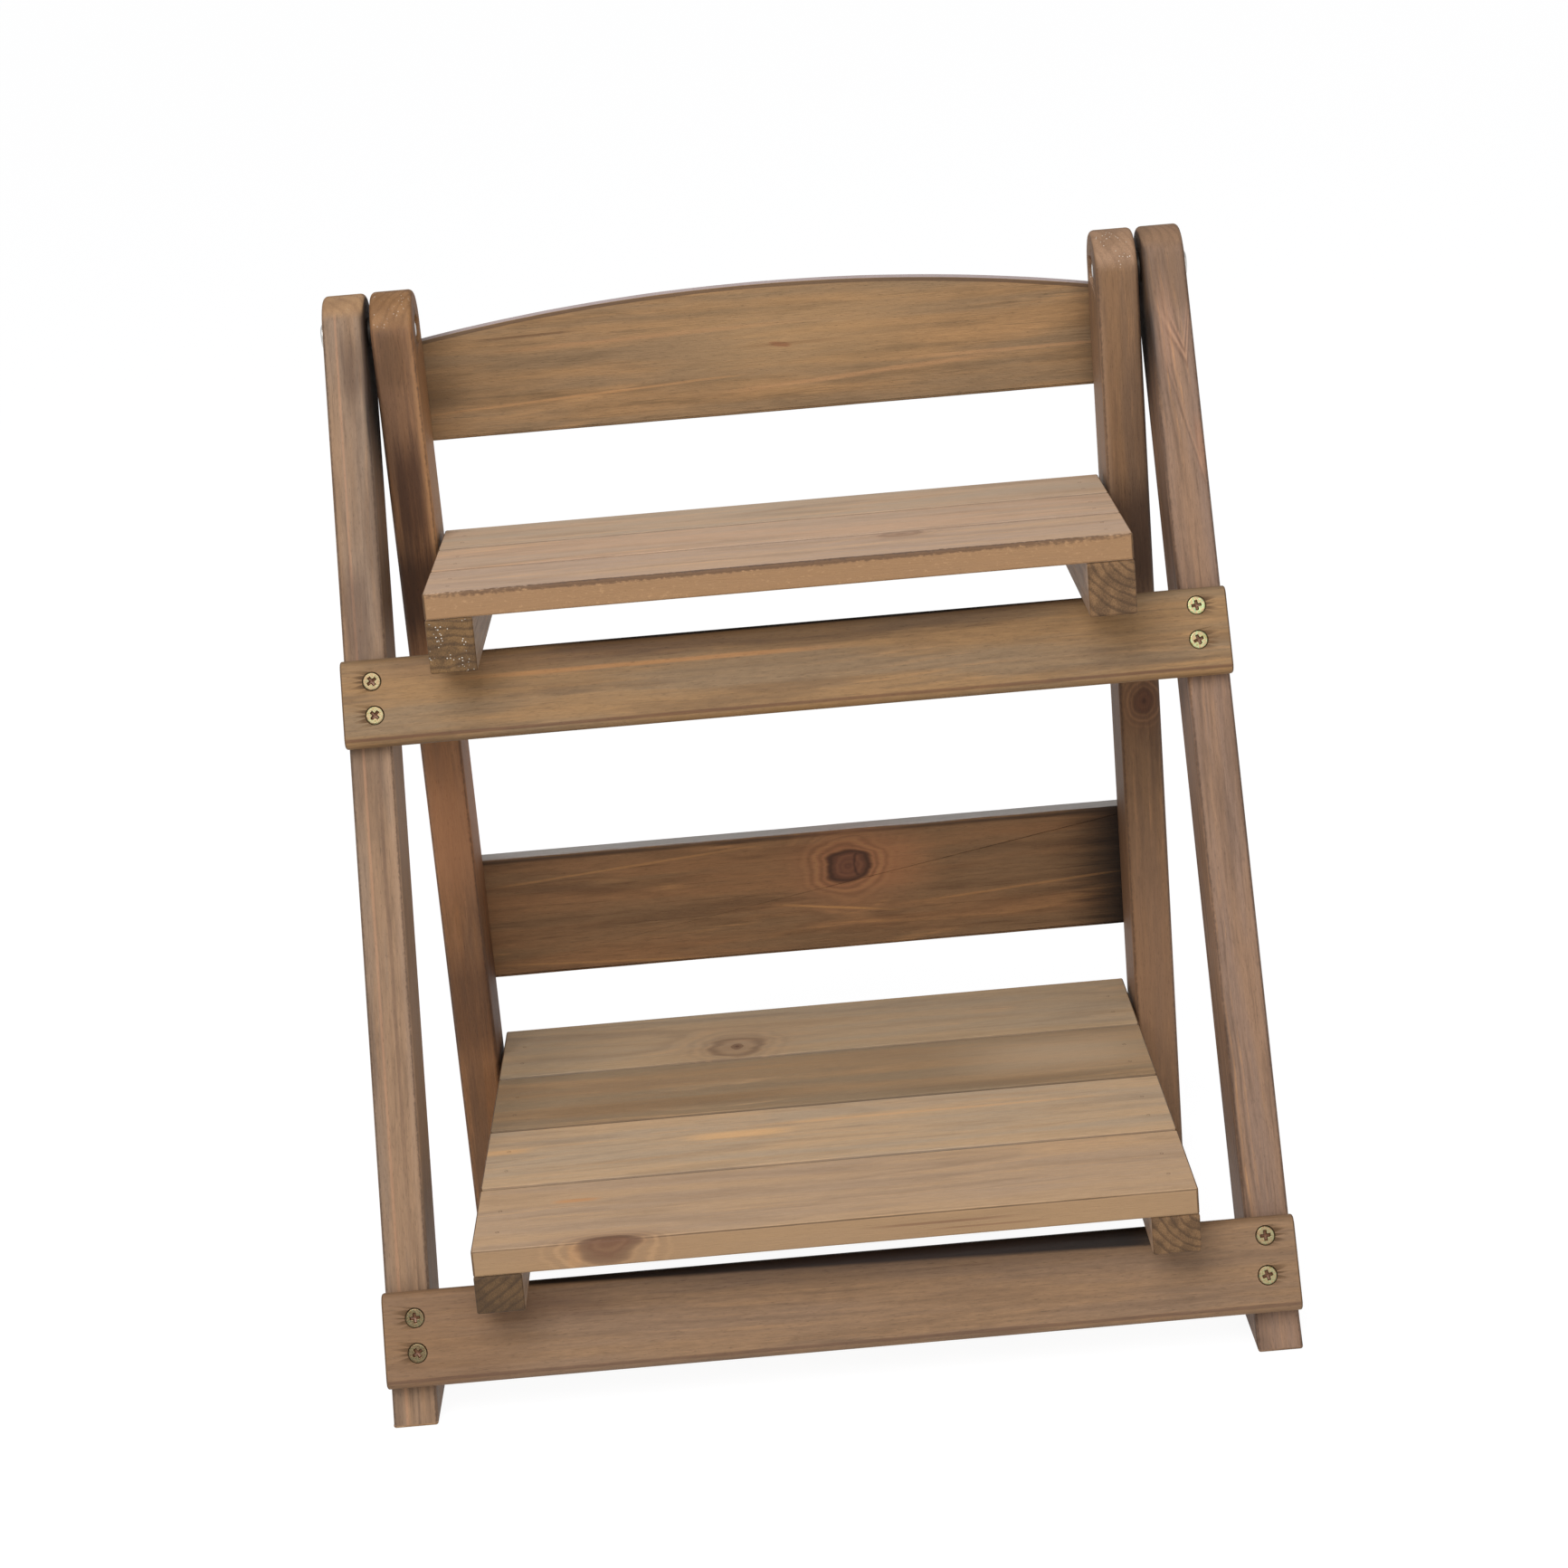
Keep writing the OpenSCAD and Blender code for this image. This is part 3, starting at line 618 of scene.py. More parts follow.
    # a mark's patch: how far a point is from its middle, in half sizes, by the fourth root of the sum
    # of fourth powers, or by the largest of the three where the mark is square
    for mark in spec["marks"]:
        line = s.math("MULTIPLY_ADD", s.times(along, along), mark["bow"], wide)
        line = s.math("MULTIPLY_ADD", along, -mark["lean"], line)
        tip, left, right = mark["vee"]
        aside = s.math("SUBTRACT", thick, tip)
        arms = s.math("MULTIPLY_ADD", s.most(aside, 0.0), -left, s.times(s.least(aside, 0.0), right))
        spot = s.node("CombineXYZ", {0: s.math("ADD", along, arms), 1: line, 2: thick})
        off = s.vector("SUBTRACT", spot.outputs[0], mark["at"])
        off = s.vector("MULTIPLY", off, [1 / v if v else 0 for v in mark["size"]])
        if mark["square"]:
            sides = s.node("SeparateXYZ", {0: s.vector("ABSOLUTE", off)}).outputs
            away = s.most(sides[0], s.most(sides[1], sides[2]))
        else:
            away = s.math("SQRT", s.vector("LENGTH", s.vector("MULTIPLY", off, off)))
        away = s.sway(streak, mark["rag"], away)
        if mark["grit"]:
            away = s.sway(grit, mark["grit"], away)
        patch = s.fall(away, 1 - mark["soft"], 1 + mark["soft"] / 3)
        color = s.mix(s.times(patch, mark["show"]), color, mark["color"])
    color = s.mix(s.times(halo, 0.8), color, spec["knotHalo"])
    color = s.mix(s.times(pale, 0.5), color, spec["late"])
    color = s.mix(s.times(dusk, 0.5), color, spec["dark"])
    color = s.mix(heart, color, spec["knotHeart"])
    color = s.mix(s.most(rim, core), color, spec["knotRim"])
    pores = s.times(s.rise(pore, 0.62, 0.74), spec["pores"])
    color = s.vector("SCALE", color, scale=s.math("SUBTRACT", s.sway(fibre, spec["fibre"], 1.0), pores))
    color = s.vector("MULTIPLY", color, spec["tint"])
    # nearest edge: the middle one of the distances to the board's three pairs of faces
    gaps = [s.math("SUBTRACT", h, s.math("ABSOLUTE", v)) for h, v in zip(spec["half"], (along, wide, thick))]
    edge = s.most(s.least(gaps[0], gaps[1]), s.least(s.most(gaps[0], gaps[1]), gaps[2]))
    jagged = s.times(grit, spec["edgeWide"])
    stain = s.fall(edge, s.times(jagged, 0.5), s.math("ADD", jagged, 0.02))
    color = s.mix(s.times(stain, spec["edgeDark"]), color, spec["edge"])
    # end grain, where the surface faces along the board
    facing = s.vector("DOT_PRODUCT", coords.outputs["Normal"], tuple(spec["axes"][0]))
    end = s.rise(s.math("ABSOLUTE", facing), 0.12, 0.45)
    speck = s.noise(shifted, (22.0, 22.0, 22.0))
    arcs = s.band(phase, (0.45, 0.8), (0.85, 1.0))
    endColor = s.mix(s.times(arcs, spec["endRings"]), spec["endPale"], spec["endDark"])
    endColor = s.mix(s.times(s.rise(blotch, 0.4, 0.6), 0.5), endColor, spec["endDark"])
    endColor = s.vector("SCALE", endColor, scale=s.sway(speck, spec["endSpeck"], 1.0))
    color = s.mix(end, color, endColor)
    if spec["specks"]:
        dots = s.node("TexVoronoi", {"Vector": s.vector("SCALE", shifted, scale=7.0), "Scale": 1.0})
        dusty = s.times(end, s.rise(s.noise(shifted, (1.3, 1.3, 1.3), 1.0), 0.5, 0.56))
        white = s.times(s.fall(dots.outputs["Distance"], 0.08, 0.26), dusty)
        color = s.mix(s.times(white, spec["specks"]), color, tone(232, 226, 214))
    height = s.math("SUBTRACT", s.times(fibre, 0.8), pores)
    bump = s.node("Bump", {"Height": height, "Strength": 0.5, "Distance": 0.0004})
    skin = s.node("BsdfPrincipled", {
        "Base Color": color, "Roughness": s.math("MULTIPLY_ADD", fibre, 0.25, spec["rough"]),
        "Specular IOR Level": 0.3, "Normal": bump.outputs[0]})
    s.node("OutputMaterial", {"Surface": skin.outputs[0]})
    return s.owner


# the look that every board starts from: the pith line's place beside the board and the rings' spacing
# and warp in centimetres, the colours, and how strongly each layer shows
plain = {
    "pith": (0.6, -7.0), "spacing": 0.42, "taper": 0.015, "warp": 1.4, "knots": [], "marks": [],
    "cool": tone(148, 122, 100), "warm": tone(162, 128, 96), "late": tone(192, 146, 104),
    "dark": tone(104, 80, 62), "lateShow": 0.75, "earlyShow": 0.25, "gold": 0.5, "streak": 0.55,
    "blotch": 0.42, "fibre": 0.5, "fleck": 0.6, "pores": 0.22, "rough": 0.52,
    "edge": tone(66, 50, 42), "edgeDark": 0.3, "edgeWide": 0.12,
    "endPale": tone(106, 78, 50), "endDark": tone(80, 58, 38), "endRings": 0.4, "endSpeck": 0.6,
    "knotHalo": tone(140, 88, 56), "knotHeart": tone(92, 54, 40), "knotRim": tone(56, 34, 28),
    "specks": 0.0, "tint": (1.0, 1.0, 1.0),
}


# which way a board's grain, width and thickness lie, and where its middle is; the thickness direction
# is turned over where the three would otherwise be left-handed
def onFrame(place, grain, wide, thick, middle):
    turn, move = place
    if np.linalg.det(np.array([grain, wide, thick])) < 0:
        thick = -thick
    origin = (turn @ np.array(middle) + move) * mm
    return {"axes": [turn @ grain, turn @ wide, turn @ thick], "origin": origin}


# what the four legs' woods share: where the leg lies, its half sizes and the stain along its edges
def legPart(name):
    leg = legs[name]
    middle = (leg["x"] + stand["legW"] / 2, 0, -stand["pivotZ"] / 2)
    return {**onFrame(leg["mount"][0], upward, outward, across, middle),
            "half": (30.0, stand["legD"] / 20, stand["legW"] / 20), "edgeDark": 0.6, "edgeWide": 0.26}


# the same for a crossbar, and for a rail whose middle is at height z from the pivot
def barPart(name):
    bar = crossbars[name]
    middle = (0, -(stand["legD"] + stand["crossbarT"]) / 2, -bar["top"] - bar["height"] / 2)
    return onFrame(frontMount[0], across, upward, outward, middle)


def railPart(z):
    return onFrame(backMount[0], across, upward, outward, (0, (stand["legD"] + stand["railT"]) / 2, z))


# nested V's of pale and dark wood on the right outer leg: each one's height and place across, half
# height and half width, V, colour and strength
vees = [markAt((up, 0, aside), (high, 0, wide), color, show, vee=vee, rag=0.5, soft=1.0)
        for up, aside, high, wide, vee, color, show in (
            (17.75, -0.32, 0.3, 0.8, (-0.52, 2.2, 6.6), (206, 160, 126), 0.5),
            (18.05, -0.4, 0.22, 0.6, (-0.5, 2.6, 6.0), (104, 70, 54), 0.5),
            (18.35, -0.4, 0.22, 0.5, (-0.46, 3.0, 5.4), (200, 154, 122), 0.45),
            (17.4, -0.32, 0.26, 0.8, (-0.55, 2.2, 7.0), (104, 72, 56), 0.45),
            (12.4, -0.3, 0.25, 0.9, (-0.78, 4.6, 9.0), (190, 146, 114), 0.4),
            (11.8, -0.3, 0.2, 0.9, (-0.8, 4.6, 9.0), (104, 74, 58), 0.4))]

# each wooden piece's look, where it differs from the plain one
woods = {
    "leftOuterLeg": {
        **legPart("leftOuterLeg"), "shift": (3, 9, 1), "lateShow": 0.5, "tint": (0.685, 0.68, 0.675),
        "pith": (3.0, -4.0), "cool": tone(154, 128, 106), "warm": tone(166, 132, 102), "specks": 0.3,
        "endPale": tone(158, 124, 90), "endDark": tone(128, 97, 70),
        "marks": [
            # painted shade: near-black on the inner face near the pivot, where it faces the inner leg across
            # the narrow gap
            markAt((20.5, 0, -1.0), (5.5, 0, 0.3), (14, 10, 9), 0.92, soft=0.8),
            # painted light: the inner side face lightened so it is nearly as bright as the front face
            markAt((-6.0, 0, -1.0), (17.0, 0, 0.4), (196, 162, 134), 0.5, soft=0.8),
            markAt((2.0, 0, 0.35), (0, 0, 0.07), (206, 154, 118), 0.4, rag=1.4),
            markAt((-6.0, 0, -0.3), (14.0, 0, 0.1), (104, 76, 60), 0.4, rag=1.4),
            markAt((20.6, 0, -0.4), (1.7, 0, 0.7), (96, 72, 56), 0.5),
            markAt((9.2, 0, 0.3), (2.4, 0, 0.7), (92, 64, 50), 0.45)]},
    "rightOuterLeg": {
        **legPart("rightOuterLeg"), "shift": (43, 2, 8), "earlyShow": 0.6, "spacing": 0.36,
        "lateShow": 0.95, "tint": (0.73, 0.71, 0.715), "pith": (-2.5, 3.0), "warp": 2.2,
        "cool": tone(150, 122, 102), "warm": tone(160, 126, 98), "endPale": tone(134, 104, 80),
        "endDark": tone(106, 82, 62),
        "marks": [
            # painted shade: near-black on the inner face near the pivot, where it faces the inner leg across
            # the narrow gap
            markAt((20.5, 0, 1.0), (5.5, 0, 0.3), (14, 10, 9), 0.92, soft=0.8),
            markAt((21.6, 0, 0), (1.8, 0, 0), (118, 92, 68), 0.5),
            markAt((19.2, 0, 0.2), (2.6, 0, 0.45), (196, 150, 118), 0.35, soft=0.8),
            *vees,
            markAt((13.6, 0, -0.78), (1.5, 0, 0.24), (196, 142, 106), 0.4, soft=0.8)]},
    "leftInnerLeg": {
        **legPart("leftInnerLeg"), "shift": (83, 7, 3), "lateShow": 0.5, "tint": (0.79, 0.7, 0.64),
        "pith": (3.0, 5.0), "cool": tone(130, 100, 74), "warm": tone(148, 108, 72), "specks": 0.4,
        "endPale": tone(138, 101, 66), "endDark": tone(106, 74, 46),
        "marks": [
            markAt((15.0, 0, -1.0), (9.0, 0, 0.35), (206, 164, 118), 0.6, soft=0.9),
            markAt((21.6, 0, 0.1), (1.6, 0, 0.8), (92, 68, 44), 0.5),
            markAt((-1.5, 0, 0), (4.2, 0, 0), (196, 146, 106), 0.55, soft=0.8),
            # painted shade: very dark bands on the leg near and beside the upper shelf, where the shelf
            # shades it
            markAt((15.0, 0, 0), (3.2, 0, 0.8), (60, 36, 22), 0.75),
            markAt((10.3, 0, 0), (2.6, 0, 0), (52, 32, 22), 0.75),
            markAt((-11.0, 0, 0), (3.0, 0, 0), (70, 44, 28), 0.45)]},
    "rightInnerLeg": {
        **legPart("rightInnerLeg"), "shift": (123, 5, 6), "lateShow": 0.5, "tint": (0.7, 0.665, 0.64),
        "pith": (2.5, -5.0), "cool": tone(134, 106, 82), "warm": tone(148, 114, 82), "specks": 0.7,
        "endPale": tone(150, 118, 92), "endDark": tone(122, 94, 72),
        "marks": [
            markAt((14.0, 0, 1.0), (9.0, 0, 0.35), (186, 152, 122), 0.5, soft=0.9),
            # painted shade: a very dark band on the leg beside the upper shelf, where the shelf shades it
            markAt((10.0, 0, 0), (3.2, 0, 0), (62, 40, 28), 0.7),
            markAt((-13.0, 0, 0), (9.0, 0, 0), (182, 142, 110), 0.45, soft=0.9)],
        "knots": [
            knotAt((1.86, -1.9, -0.2), (0.6, 0.6, 0.45), push=0.5, heart=0.5, rim=0.4, halo=0.6)]},
    "midCrossbar": {
        **barPart("midCrossbar"), "half": (20.05, 2.0, 0.52),
        "shift": (7, 31, 2), "lateShow": 0.4, "gold": 0.3, "streak": 0.35, "tint": (0.735, 0.72, 0.62),
        "pith": (3.6, 4.5), "cool": tone(148, 122, 98), "warm": tone(162, 126, 90),
        "marks": [
            # painted shade: the upper part of the bar darkened under the upper shelf, with a near-black line
            # along its top edge between the bearers
            markAt((0.6, 2.1, 0), (12.9, 1.15, 0), (82, 60, 46), 0.5, soft=0.3),
            markAt((1.2, 2.05, 0), (12.6, 0.24, 0), (14, 12, 14), 0.95, soft=0.3, rag=0.15),
            markAt((-11.0, 1.3, 0), (9.0, 0.5, 0), (112, 82, 66), 0.4, soft=0.8),
            markAt((-6.0, 0.72, 0), (9.0, 0.12, 0), (206, 148, 98), 0.6),
            markAt((0, -1.68, 0), (0, 0.09, 0), (100, 62, 48), 0.6)]},
    "bottomCrossbar": {
        **barPart("bottomCrossbar"), "half": (20.05, 2.07, 0.52),
        "shift": (17, 41, 5), "tint": (0.76, 0.76, 0.72), "pith": (-4.2, 4.5), "cool": tone(146, 116, 92),
        "warm": tone(154, 120, 90), "gold": 0.12, "blotch": 0.3, "lateShow": 0.2, "streak": 0.35,
        "marks": [
            # painted shadow: a near-black band along the top edge, thicker to the right, where the lower
            # shelf shades the bar
            markAt((0, 2.15, 0), (16.0, 0.62, 0), (8, 8, 10), 0.97, lean=-0.022, square=True, rag=0.1,
                   soft=0.22),
            markAt((-17.5, 0, 0), (4.5, 0, 0), (128, 90, 58), 0.35, soft=0.8),
            # painted shade: the upper part of the bar darkened under the lower shelf
            markAt((2.0, 2.0, 0), (13.0, 1.3, 0), (66, 46, 38), 0.5, soft=0.9),
            markAt((-13.0, 1.0, 0), (3.4, 0.8, 0), (90, 60, 46), 0.4, soft=0.8),
            markAt((0, -1.75, 0), (0, 0.09, 0), (96, 66, 54), 0.5)]},
    "lowerBackRail": {
        **railPart(-306.2), "half": (17.8, 3.19, 0.47),
        "shift": (27, 51, 5), "tint": (0.82, 0.86, 0.91), "pith": (0.3, 7.0), "cool": tone(134, 100, 68),
        "warm": tone(146, 104, 68), "dark": tone(96, 66, 42), "late": tone(178, 128, 80),
        "knotHeart": tone(98, 60, 44), "knotRim": tone(52, 30, 22), "knotHalo": tone(168, 104, 70),
        "marks": [
            # painted shade: near-black on the front face at the right end, beside the right inner leg
            markAt((16.5, 0, 0.5), (3.3, 0, 0.8), (16, 10, 8), 0.94, soft=0.9),
            markAt((-17.0, 0, 0), (0.8, 0, 0), (50, 32, 22), 0.5, soft=0.8),
            # painted highlight: the top face pale grey, as if lit from above
            markAt((0, 3.35, 0), (0, 0.22, 0), (214, 206, 198), 0.9, soft=0.2),
            markAt((0, 3.0, 0.47), (0, 0.13, 0.2), (56, 38, 26), 0.7, soft=0.9),
            markAt((3.6, 1.3, 0), (3.1, 1.75, 0), (176, 120, 78), 0.5, soft=0.7),
            markAt((1.6, -0.75, 0), (2.6, 0.08, 0), (204, 148, 88), 0.6, lean=-0.13, rag=1.4),
            markAt((10.5, -1.42, 0), (5.5, 0.07, 0), (184, 130, 78), 0.45, lean=0.071, rag=1.4),
            markAt((-9.0, 2.88, 0), (7.5, 0.07, 0), (184, 132, 80), 0.5, lean=0.08, rag=1.4),
            markAt((-10.0, -3.3, 0), (6.0, 0.07, 0), (184, 132, 80), 0.45, lean=-0.05, rag=1.4)],
        "knots": [
            knotAt((2.24, 1.21, 0), (1.0, 0.8, 9.0), push=2.4, heart=0.88, rim=0.85, halo=0.75, core=0.15),
            knotAt((2.9, 1.25, 0), (0.32, 0.62, 9.0), push=0.0, heart=0.0, rim=0.6, halo=0.0)]},
    "archedTopRail": {
        **railPart(-29), "half": (17.8, 9.0, 0.47),
        "shift": (37, 61, 5), "tint": (0.7, 0.7, 0.715), "pith": (-0.5, 6.0), "cool": tone(156, 126, 92),
        "warm": tone(176, 136, 92), "dark": tone(116, 92, 64), "late": tone(204, 156, 104),
        "lateShow": 0.6,
        "marks": [
            markAt((0, 3.16, 0.47), (0, 0.09, 0.12), (92, 66, 46), 0.8, bow=0.00537, soft=0.4, rag=0.3),
            # painted highlight: the arched top face pale grey, as if lit from above
            markAt((0, 3.3, -0.1), (0, 0.09, 0.5), (214, 196, 194), 0.9, bow=0.00537, soft=0.2, rag=0.1),
            markAt((-16.6, 2.2, 0), (3.0, 0.9, 0), (92, 72, 48), 0.35),
            markAt((-16.4, -0.6, 0), (2.6, 1.3, 0), (104, 76, 46), 0.4),
            markAt((-11.0, 1.95, 0), (2.6, 0.07, 0), (96, 62, 38), 0.6, lean=0.02),
            markAt((-8.6, -1.0, 0), (8.6, 0.07, 0), (206, 154, 102), 0.55, lean=0.045, rag=1.5),
            markAt((5.0, -1.75, 0), (7.0, 0.13, 0), (208, 156, 108), 0.5, lean=0.06, rag=1.5),
            markAt((12.0, -0.9, 0), (6.0, 0.09, 0), (208, 158, 110), 0.5, rag=1.5),
            markAt((-4.0, 1.3, 0), (9.0, 0.13, 0), (200, 148, 100), 0.4, lean=0.02, rag=1.5),
            markAt((1.05, 0.41, 0), (0.55, 0.13, 0), (126, 44, 22), 0.95, lean=-0.12, rag=0.3),
            markAt((1.6, 0.3, 0), (2.6, 0.1, 0), (112, 74, 44), 0.45),
            markAt((-13.5, 0.2, 0), (4.0, 2.2, 0), (124, 96, 64), 0.35, soft=0.9),
            markAt((2.0, 0.6, 0), (7.0, 2.4, 0), (206, 166, 116), 0.3, soft=0.9),
            markAt((17.2, 0, 0), (2.0, 0, 0), (66, 42, 26), 0.6, soft=0.8)]},
}

# what the slats share, and each one's own look; the same for the bearers
slatWood = {
    "late": tone(206, 162, 118), "dark": tone(132, 106, 82), "fibre": 0.26, "pores": 0.1, "streak": 0.22,
    "blotch": 0.24, "edgeDark": 0.0, "fleck": 0.4, "lateShow": 0.45, "gold": 0.35,
    "knotHeart": tone(104, 70, 50), "knotRim": tone(84, 56, 42), "knotHalo": tone(146, 104, 72),
}
slatLooks = {
    "upperSlatFront": {"cool": tone(168, 142, 120), "warm": tone(176, 146, 118),
        "knots": [
            knotAt((5.62, 1.67, 0), (0.9, 0.4, 9.0), push=0.4, heart=0.25, rim=0.3, halo=0.25)],
        "marks": [
            markAt((0, -2.2, 0), (0, 0.14, 0), (148, 112, 74), 0.85, soft=0.2),
            markAt((0, -2.15, 0.62), (16.5, 0.2, 0.25), (62, 44, 36), 0.85, soft=0.3, grit=1.1),
            markAt((0, -2.15, 0), (0, 0.12, 0), (112, 82, 54), 0.45, soft=0.5, grit=3.4)]},
    "upperSlatMiddle": {"cool": tone(172, 146, 122), "warm": tone(180, 148, 120)},
    "upperSlatBack": {"cool": tone(168, 146, 122), "warm": tone(176, 148, 120)},
    "lowerSlatFront": {"cool": tone(176, 146, 118), "warm": tone(184, 150, 116),
        "knots": [
            knotAt((-9.8, -3.2, 0.5), (1.25, 0.42, 0.9), push=0.5, heart=0.85, rim=0.5, halo=0.4)],
        "marks": [
            markAt((0, -3.2, -0.05), (0, 0.16, 0), (146, 114, 80), 0.8, soft=0.3),
            markAt((-9.4, -3.0, 0.6), (2.0, 0.6, 0.3), (118, 88, 66), 0.55, soft=0.9),
            markAt((-11.2, -3.15, 0), (0.35, 0.2, 0.7), (196, 146, 98), 0.4),
            markAt((0, -3.12, 0.58), (0, 0.06, 0.06), (84, 62, 42), 0.9, soft=0.5, rag=0.9),
            markAt((-11.3, 1.2, 0), (1.1, 0.2, 0), (196, 136, 84), 0.6),
            markAt((4.5, -3.1, 0.1), (3.4, 0.5, 0.07), (112, 76, 54), 0.6),
            markAt((6.5, -3.1, -0.2), (2.6, 0.5, 0.05), (112, 76, 54), 0.5)]},
    "lowerSlatMidFront": {"cool": tone(180, 154, 126), "warm": tone(192, 158, 122),
        "marks": [
            markAt((-4.0, 0.5, 0), (2.6, 0.45, 0), (226, 176, 122), 0.65, rag=0.4),
            markAt((4.5, 1.3, 0), (9.0, 0.14, 0), (216, 168, 120), 0.5),
            markAt((-15.0, 0.72, 0), (1.6, 0.3, 0), (210, 160, 108), 0.6)]},
    "lowerSlatMidBack": {"cool": tone(146, 122, 94), "warm": tone(158, 126, 92),
        "marks": [
            markAt((-8.0, -1.6, 0), (8.0, 0.7, 0), (116, 90, 64), 0.4),
            markAt((11.5, 0.4, 0), (5.5, 2.4, 0), (196, 166, 134), 0.5, soft=0.9),
            markAt((9.0, -2.5, 0), (7.0, 0.5, 0), (120, 94, 68), 0.3)]},
    "lowerSlatBack": {"cool": tone(170, 146, 118), "warm": tone(178, 148, 114),
        "knots": [
            knotAt((-3.97, -1.6, 0), (1.2, 1.1, 9.0), push=0.7, heart=0.15, rim=0.45, halo=0.3),
            knotAt((-3.97, -1.6, 0), (0.35, 0.5, 9.0), push=0.0, heart=0.7, rim=0.0, halo=0.0)]},
}
bearerWood = {
    "cool": tone(164, 144, 124), "warm": tone(172, 144, 118), "tint": (0.95, 0.92, 0.9), "spacing": 0.4,
    "endPale": tone(120, 90, 60), "endDark": tone(60, 42, 26), "endRings": 0.55, "endSpeck": 1.5,
}
bearerLooks = {
    "upperLeftBearer": {"pith": (0.5, -7.0), "endPale": tone(112, 84, 52), "specks": 0.9},
    "lowerLeftBearer": {"endPale": tone(94, 70, 44), "endDark": tone(56, 40, 25)},
}
for shelf, s in shelves.items():
    pitch = slatPitch(s)
    slatHalf = (pitch - stand["slatGap"]) / 2
    for k, part in enumerate(s["slats"]):
        name = shelf + "Slat" + part
        look = slatLooks[name]
        middle = (0, -s["front"] + k * pitch + slatHalf, s["top"] - stand["slatT"] / 2)
        # a dark seam along the top of each side that meets another slat, and behind the last one
        edges = (slatHalf / 10, -slatHalf / 10) if k else (slatHalf / 10,)
        seams = [markAt((0, y, 0.6), (0, 0.08, 0.35), (66, 50, 40), 0.5, soft=0.5, rag=1.2) for y in edges]
        woods[name] = {**onFrame(levelPlace, across, outward, upward, middle), **slatWood, **look,
                       "half": (stand["slatL"] / 20, slatHalf / 10, stand["slatT"] / 20),
                       "shift": (s["shift"] + k * 53, k * 11, 4),
                       "pith": (3.4 - 1.2 * k, -6.0 + 1.5 * (k % 2)), "tint": s["tint"],
                       "marks": [*look.get("marks", []), *seams]}
    for side, sign in sides.items():
        name = f"{shelf}{side}Bearer"
        middle = (sign * (stand["slatL"] - stand["bearerW"]) / 2, (s["end"] - s["front"]) / 2,
                  s["top"] - stand["slatT"] - s["bearerH"] / 2)
        woods[name] = {**onFrame(levelPlace, outward, across, upward, middle), **bearerWood,
                       "half": ((s["end"] + s["front"]) / 20, stand["bearerW"] / 20, s["bearerH"] / 20),
                       "shift": (95 + sign * 37, 3, 7), "pith": (sign * 2.5, -3.0),
                       **bearerLooks.get(name, {})}
for name, own in woods.items():
    pieces[name].data.materials.clear()
    pieces[name].data.materials.append(stainedPine(name + "Pine", {**plain, **own}))
print("woods made:", len(woods))


# plated steel: a metal whose tint drifts with slow noise and whose gloss drifts with fine noise; where
# the mesh says so, tarnish and painted shade cover the plating, and the recesses are darker and less
# metallic
def platedSteel(name, tints, rough, size, tarnishAndShade=None):
    s = Shader(bpy.data.materials.new(name))
    coords = s.node("TexCoord").outputs["Object"]
    drift = s.node("TexNoise", {"Vector": coords, "Scale": size, "Detail": 3.0})
    grain = s.node("TexNoise", {"Vector": coords, "Scale": size * 6, "Detail": 2.0}).outputs[0]
    ramp = s.node("ValToRGB", {0: drift.outputs[0]})
    first, last = ramp.color_ramp.elements
    first.position, last.position = 0.35, 0.65
    first.color, last.color = tints[0], tints[-1]
    for k, tint in enumerate(tints[1:-1]):
        ramp.color_ramp.elements.new(0.35 + 0.3 * (k + 1) / (len(tints) - 1)).color = tint
    bump = s.node("Bump", {"Height": grain, "Strength": 0.2, "Distance": 0.0001})
    # the recesses coloured dark brown and made less metallic
    recessDark = s.rise(s.node("Attribute", attribute_name="recess").outputs["Fac"], 0.1, 0.6)
    color = ramp.outputs[0]
    # tarnish colours where the plating value is low; on the shaded screws they are painted shade
    if tarnishAndShade:
        clearOfTarnishAndShade = s.node("Attribute", attribute_name="clearOfTarnishAndShade").outputs["Fac"]
        color = s.mix(clearOfTarnishAndShade, s.mix(s.rise(grain, 0.4, 0.6), *tarnishAndShade), color)
    skin = s.node("BsdfPrincipled", {
        "Base Color": s.mix(s.times(recessDark, 0.95), color, tone(104, 62, 34)),
        "Metallic": s.math("SUBTRACT", 1.0, s.times(recessDark, 0.8)), "Normal": bump.outputs[0],
        "Roughness": s.math("MULTIPLY_ADD", grain, 0.2, rough)})
    s.node("OutputMaterial", {"Surface": skin.outputs[0]})
    return s.owner


zincTints = [tone(150, 132, 84), tone(158, 176, 134), tone(176, 138, 104), tone(140, 156, 118)]
yellowZinc = platedSteel("yellowZinc", zincTints, 0.26, 600, (tone(74, 62, 46), tone(128, 106, 80)))
brightZinc = platedSteel("brightZinc", [tone(190, 190, 188), tone(214, 212, 208)], 0.28, 260)
nailSteel = platedSteel("nailSteel", [tone(70, 54, 42), tone(122, 98, 74)], 0.5, 500)
dullSteel = platedSteel("dullSteel", [tone(66, 62, 58), tone(92, 88, 82)], 0.45, 260)
for name in [*screwSpots, *railScrews]:
    pieces[name].data.materials.append(yellowZinc)
for name in ("upperSlatNails", "lowerSlatNails"):
    pieces[name].data.materials.append(nailSteel)
for node in ("pivot_bolts", "pivot_spacers", "pivot_washers", "pivot_nuts", "upper_shelf_pivots",
             "lower_shelf_pivots"):
    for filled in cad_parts[node].material_slots:
        filled.material = dullSteel if node == "pivot_spacers" else brightZinc
print("metals made")

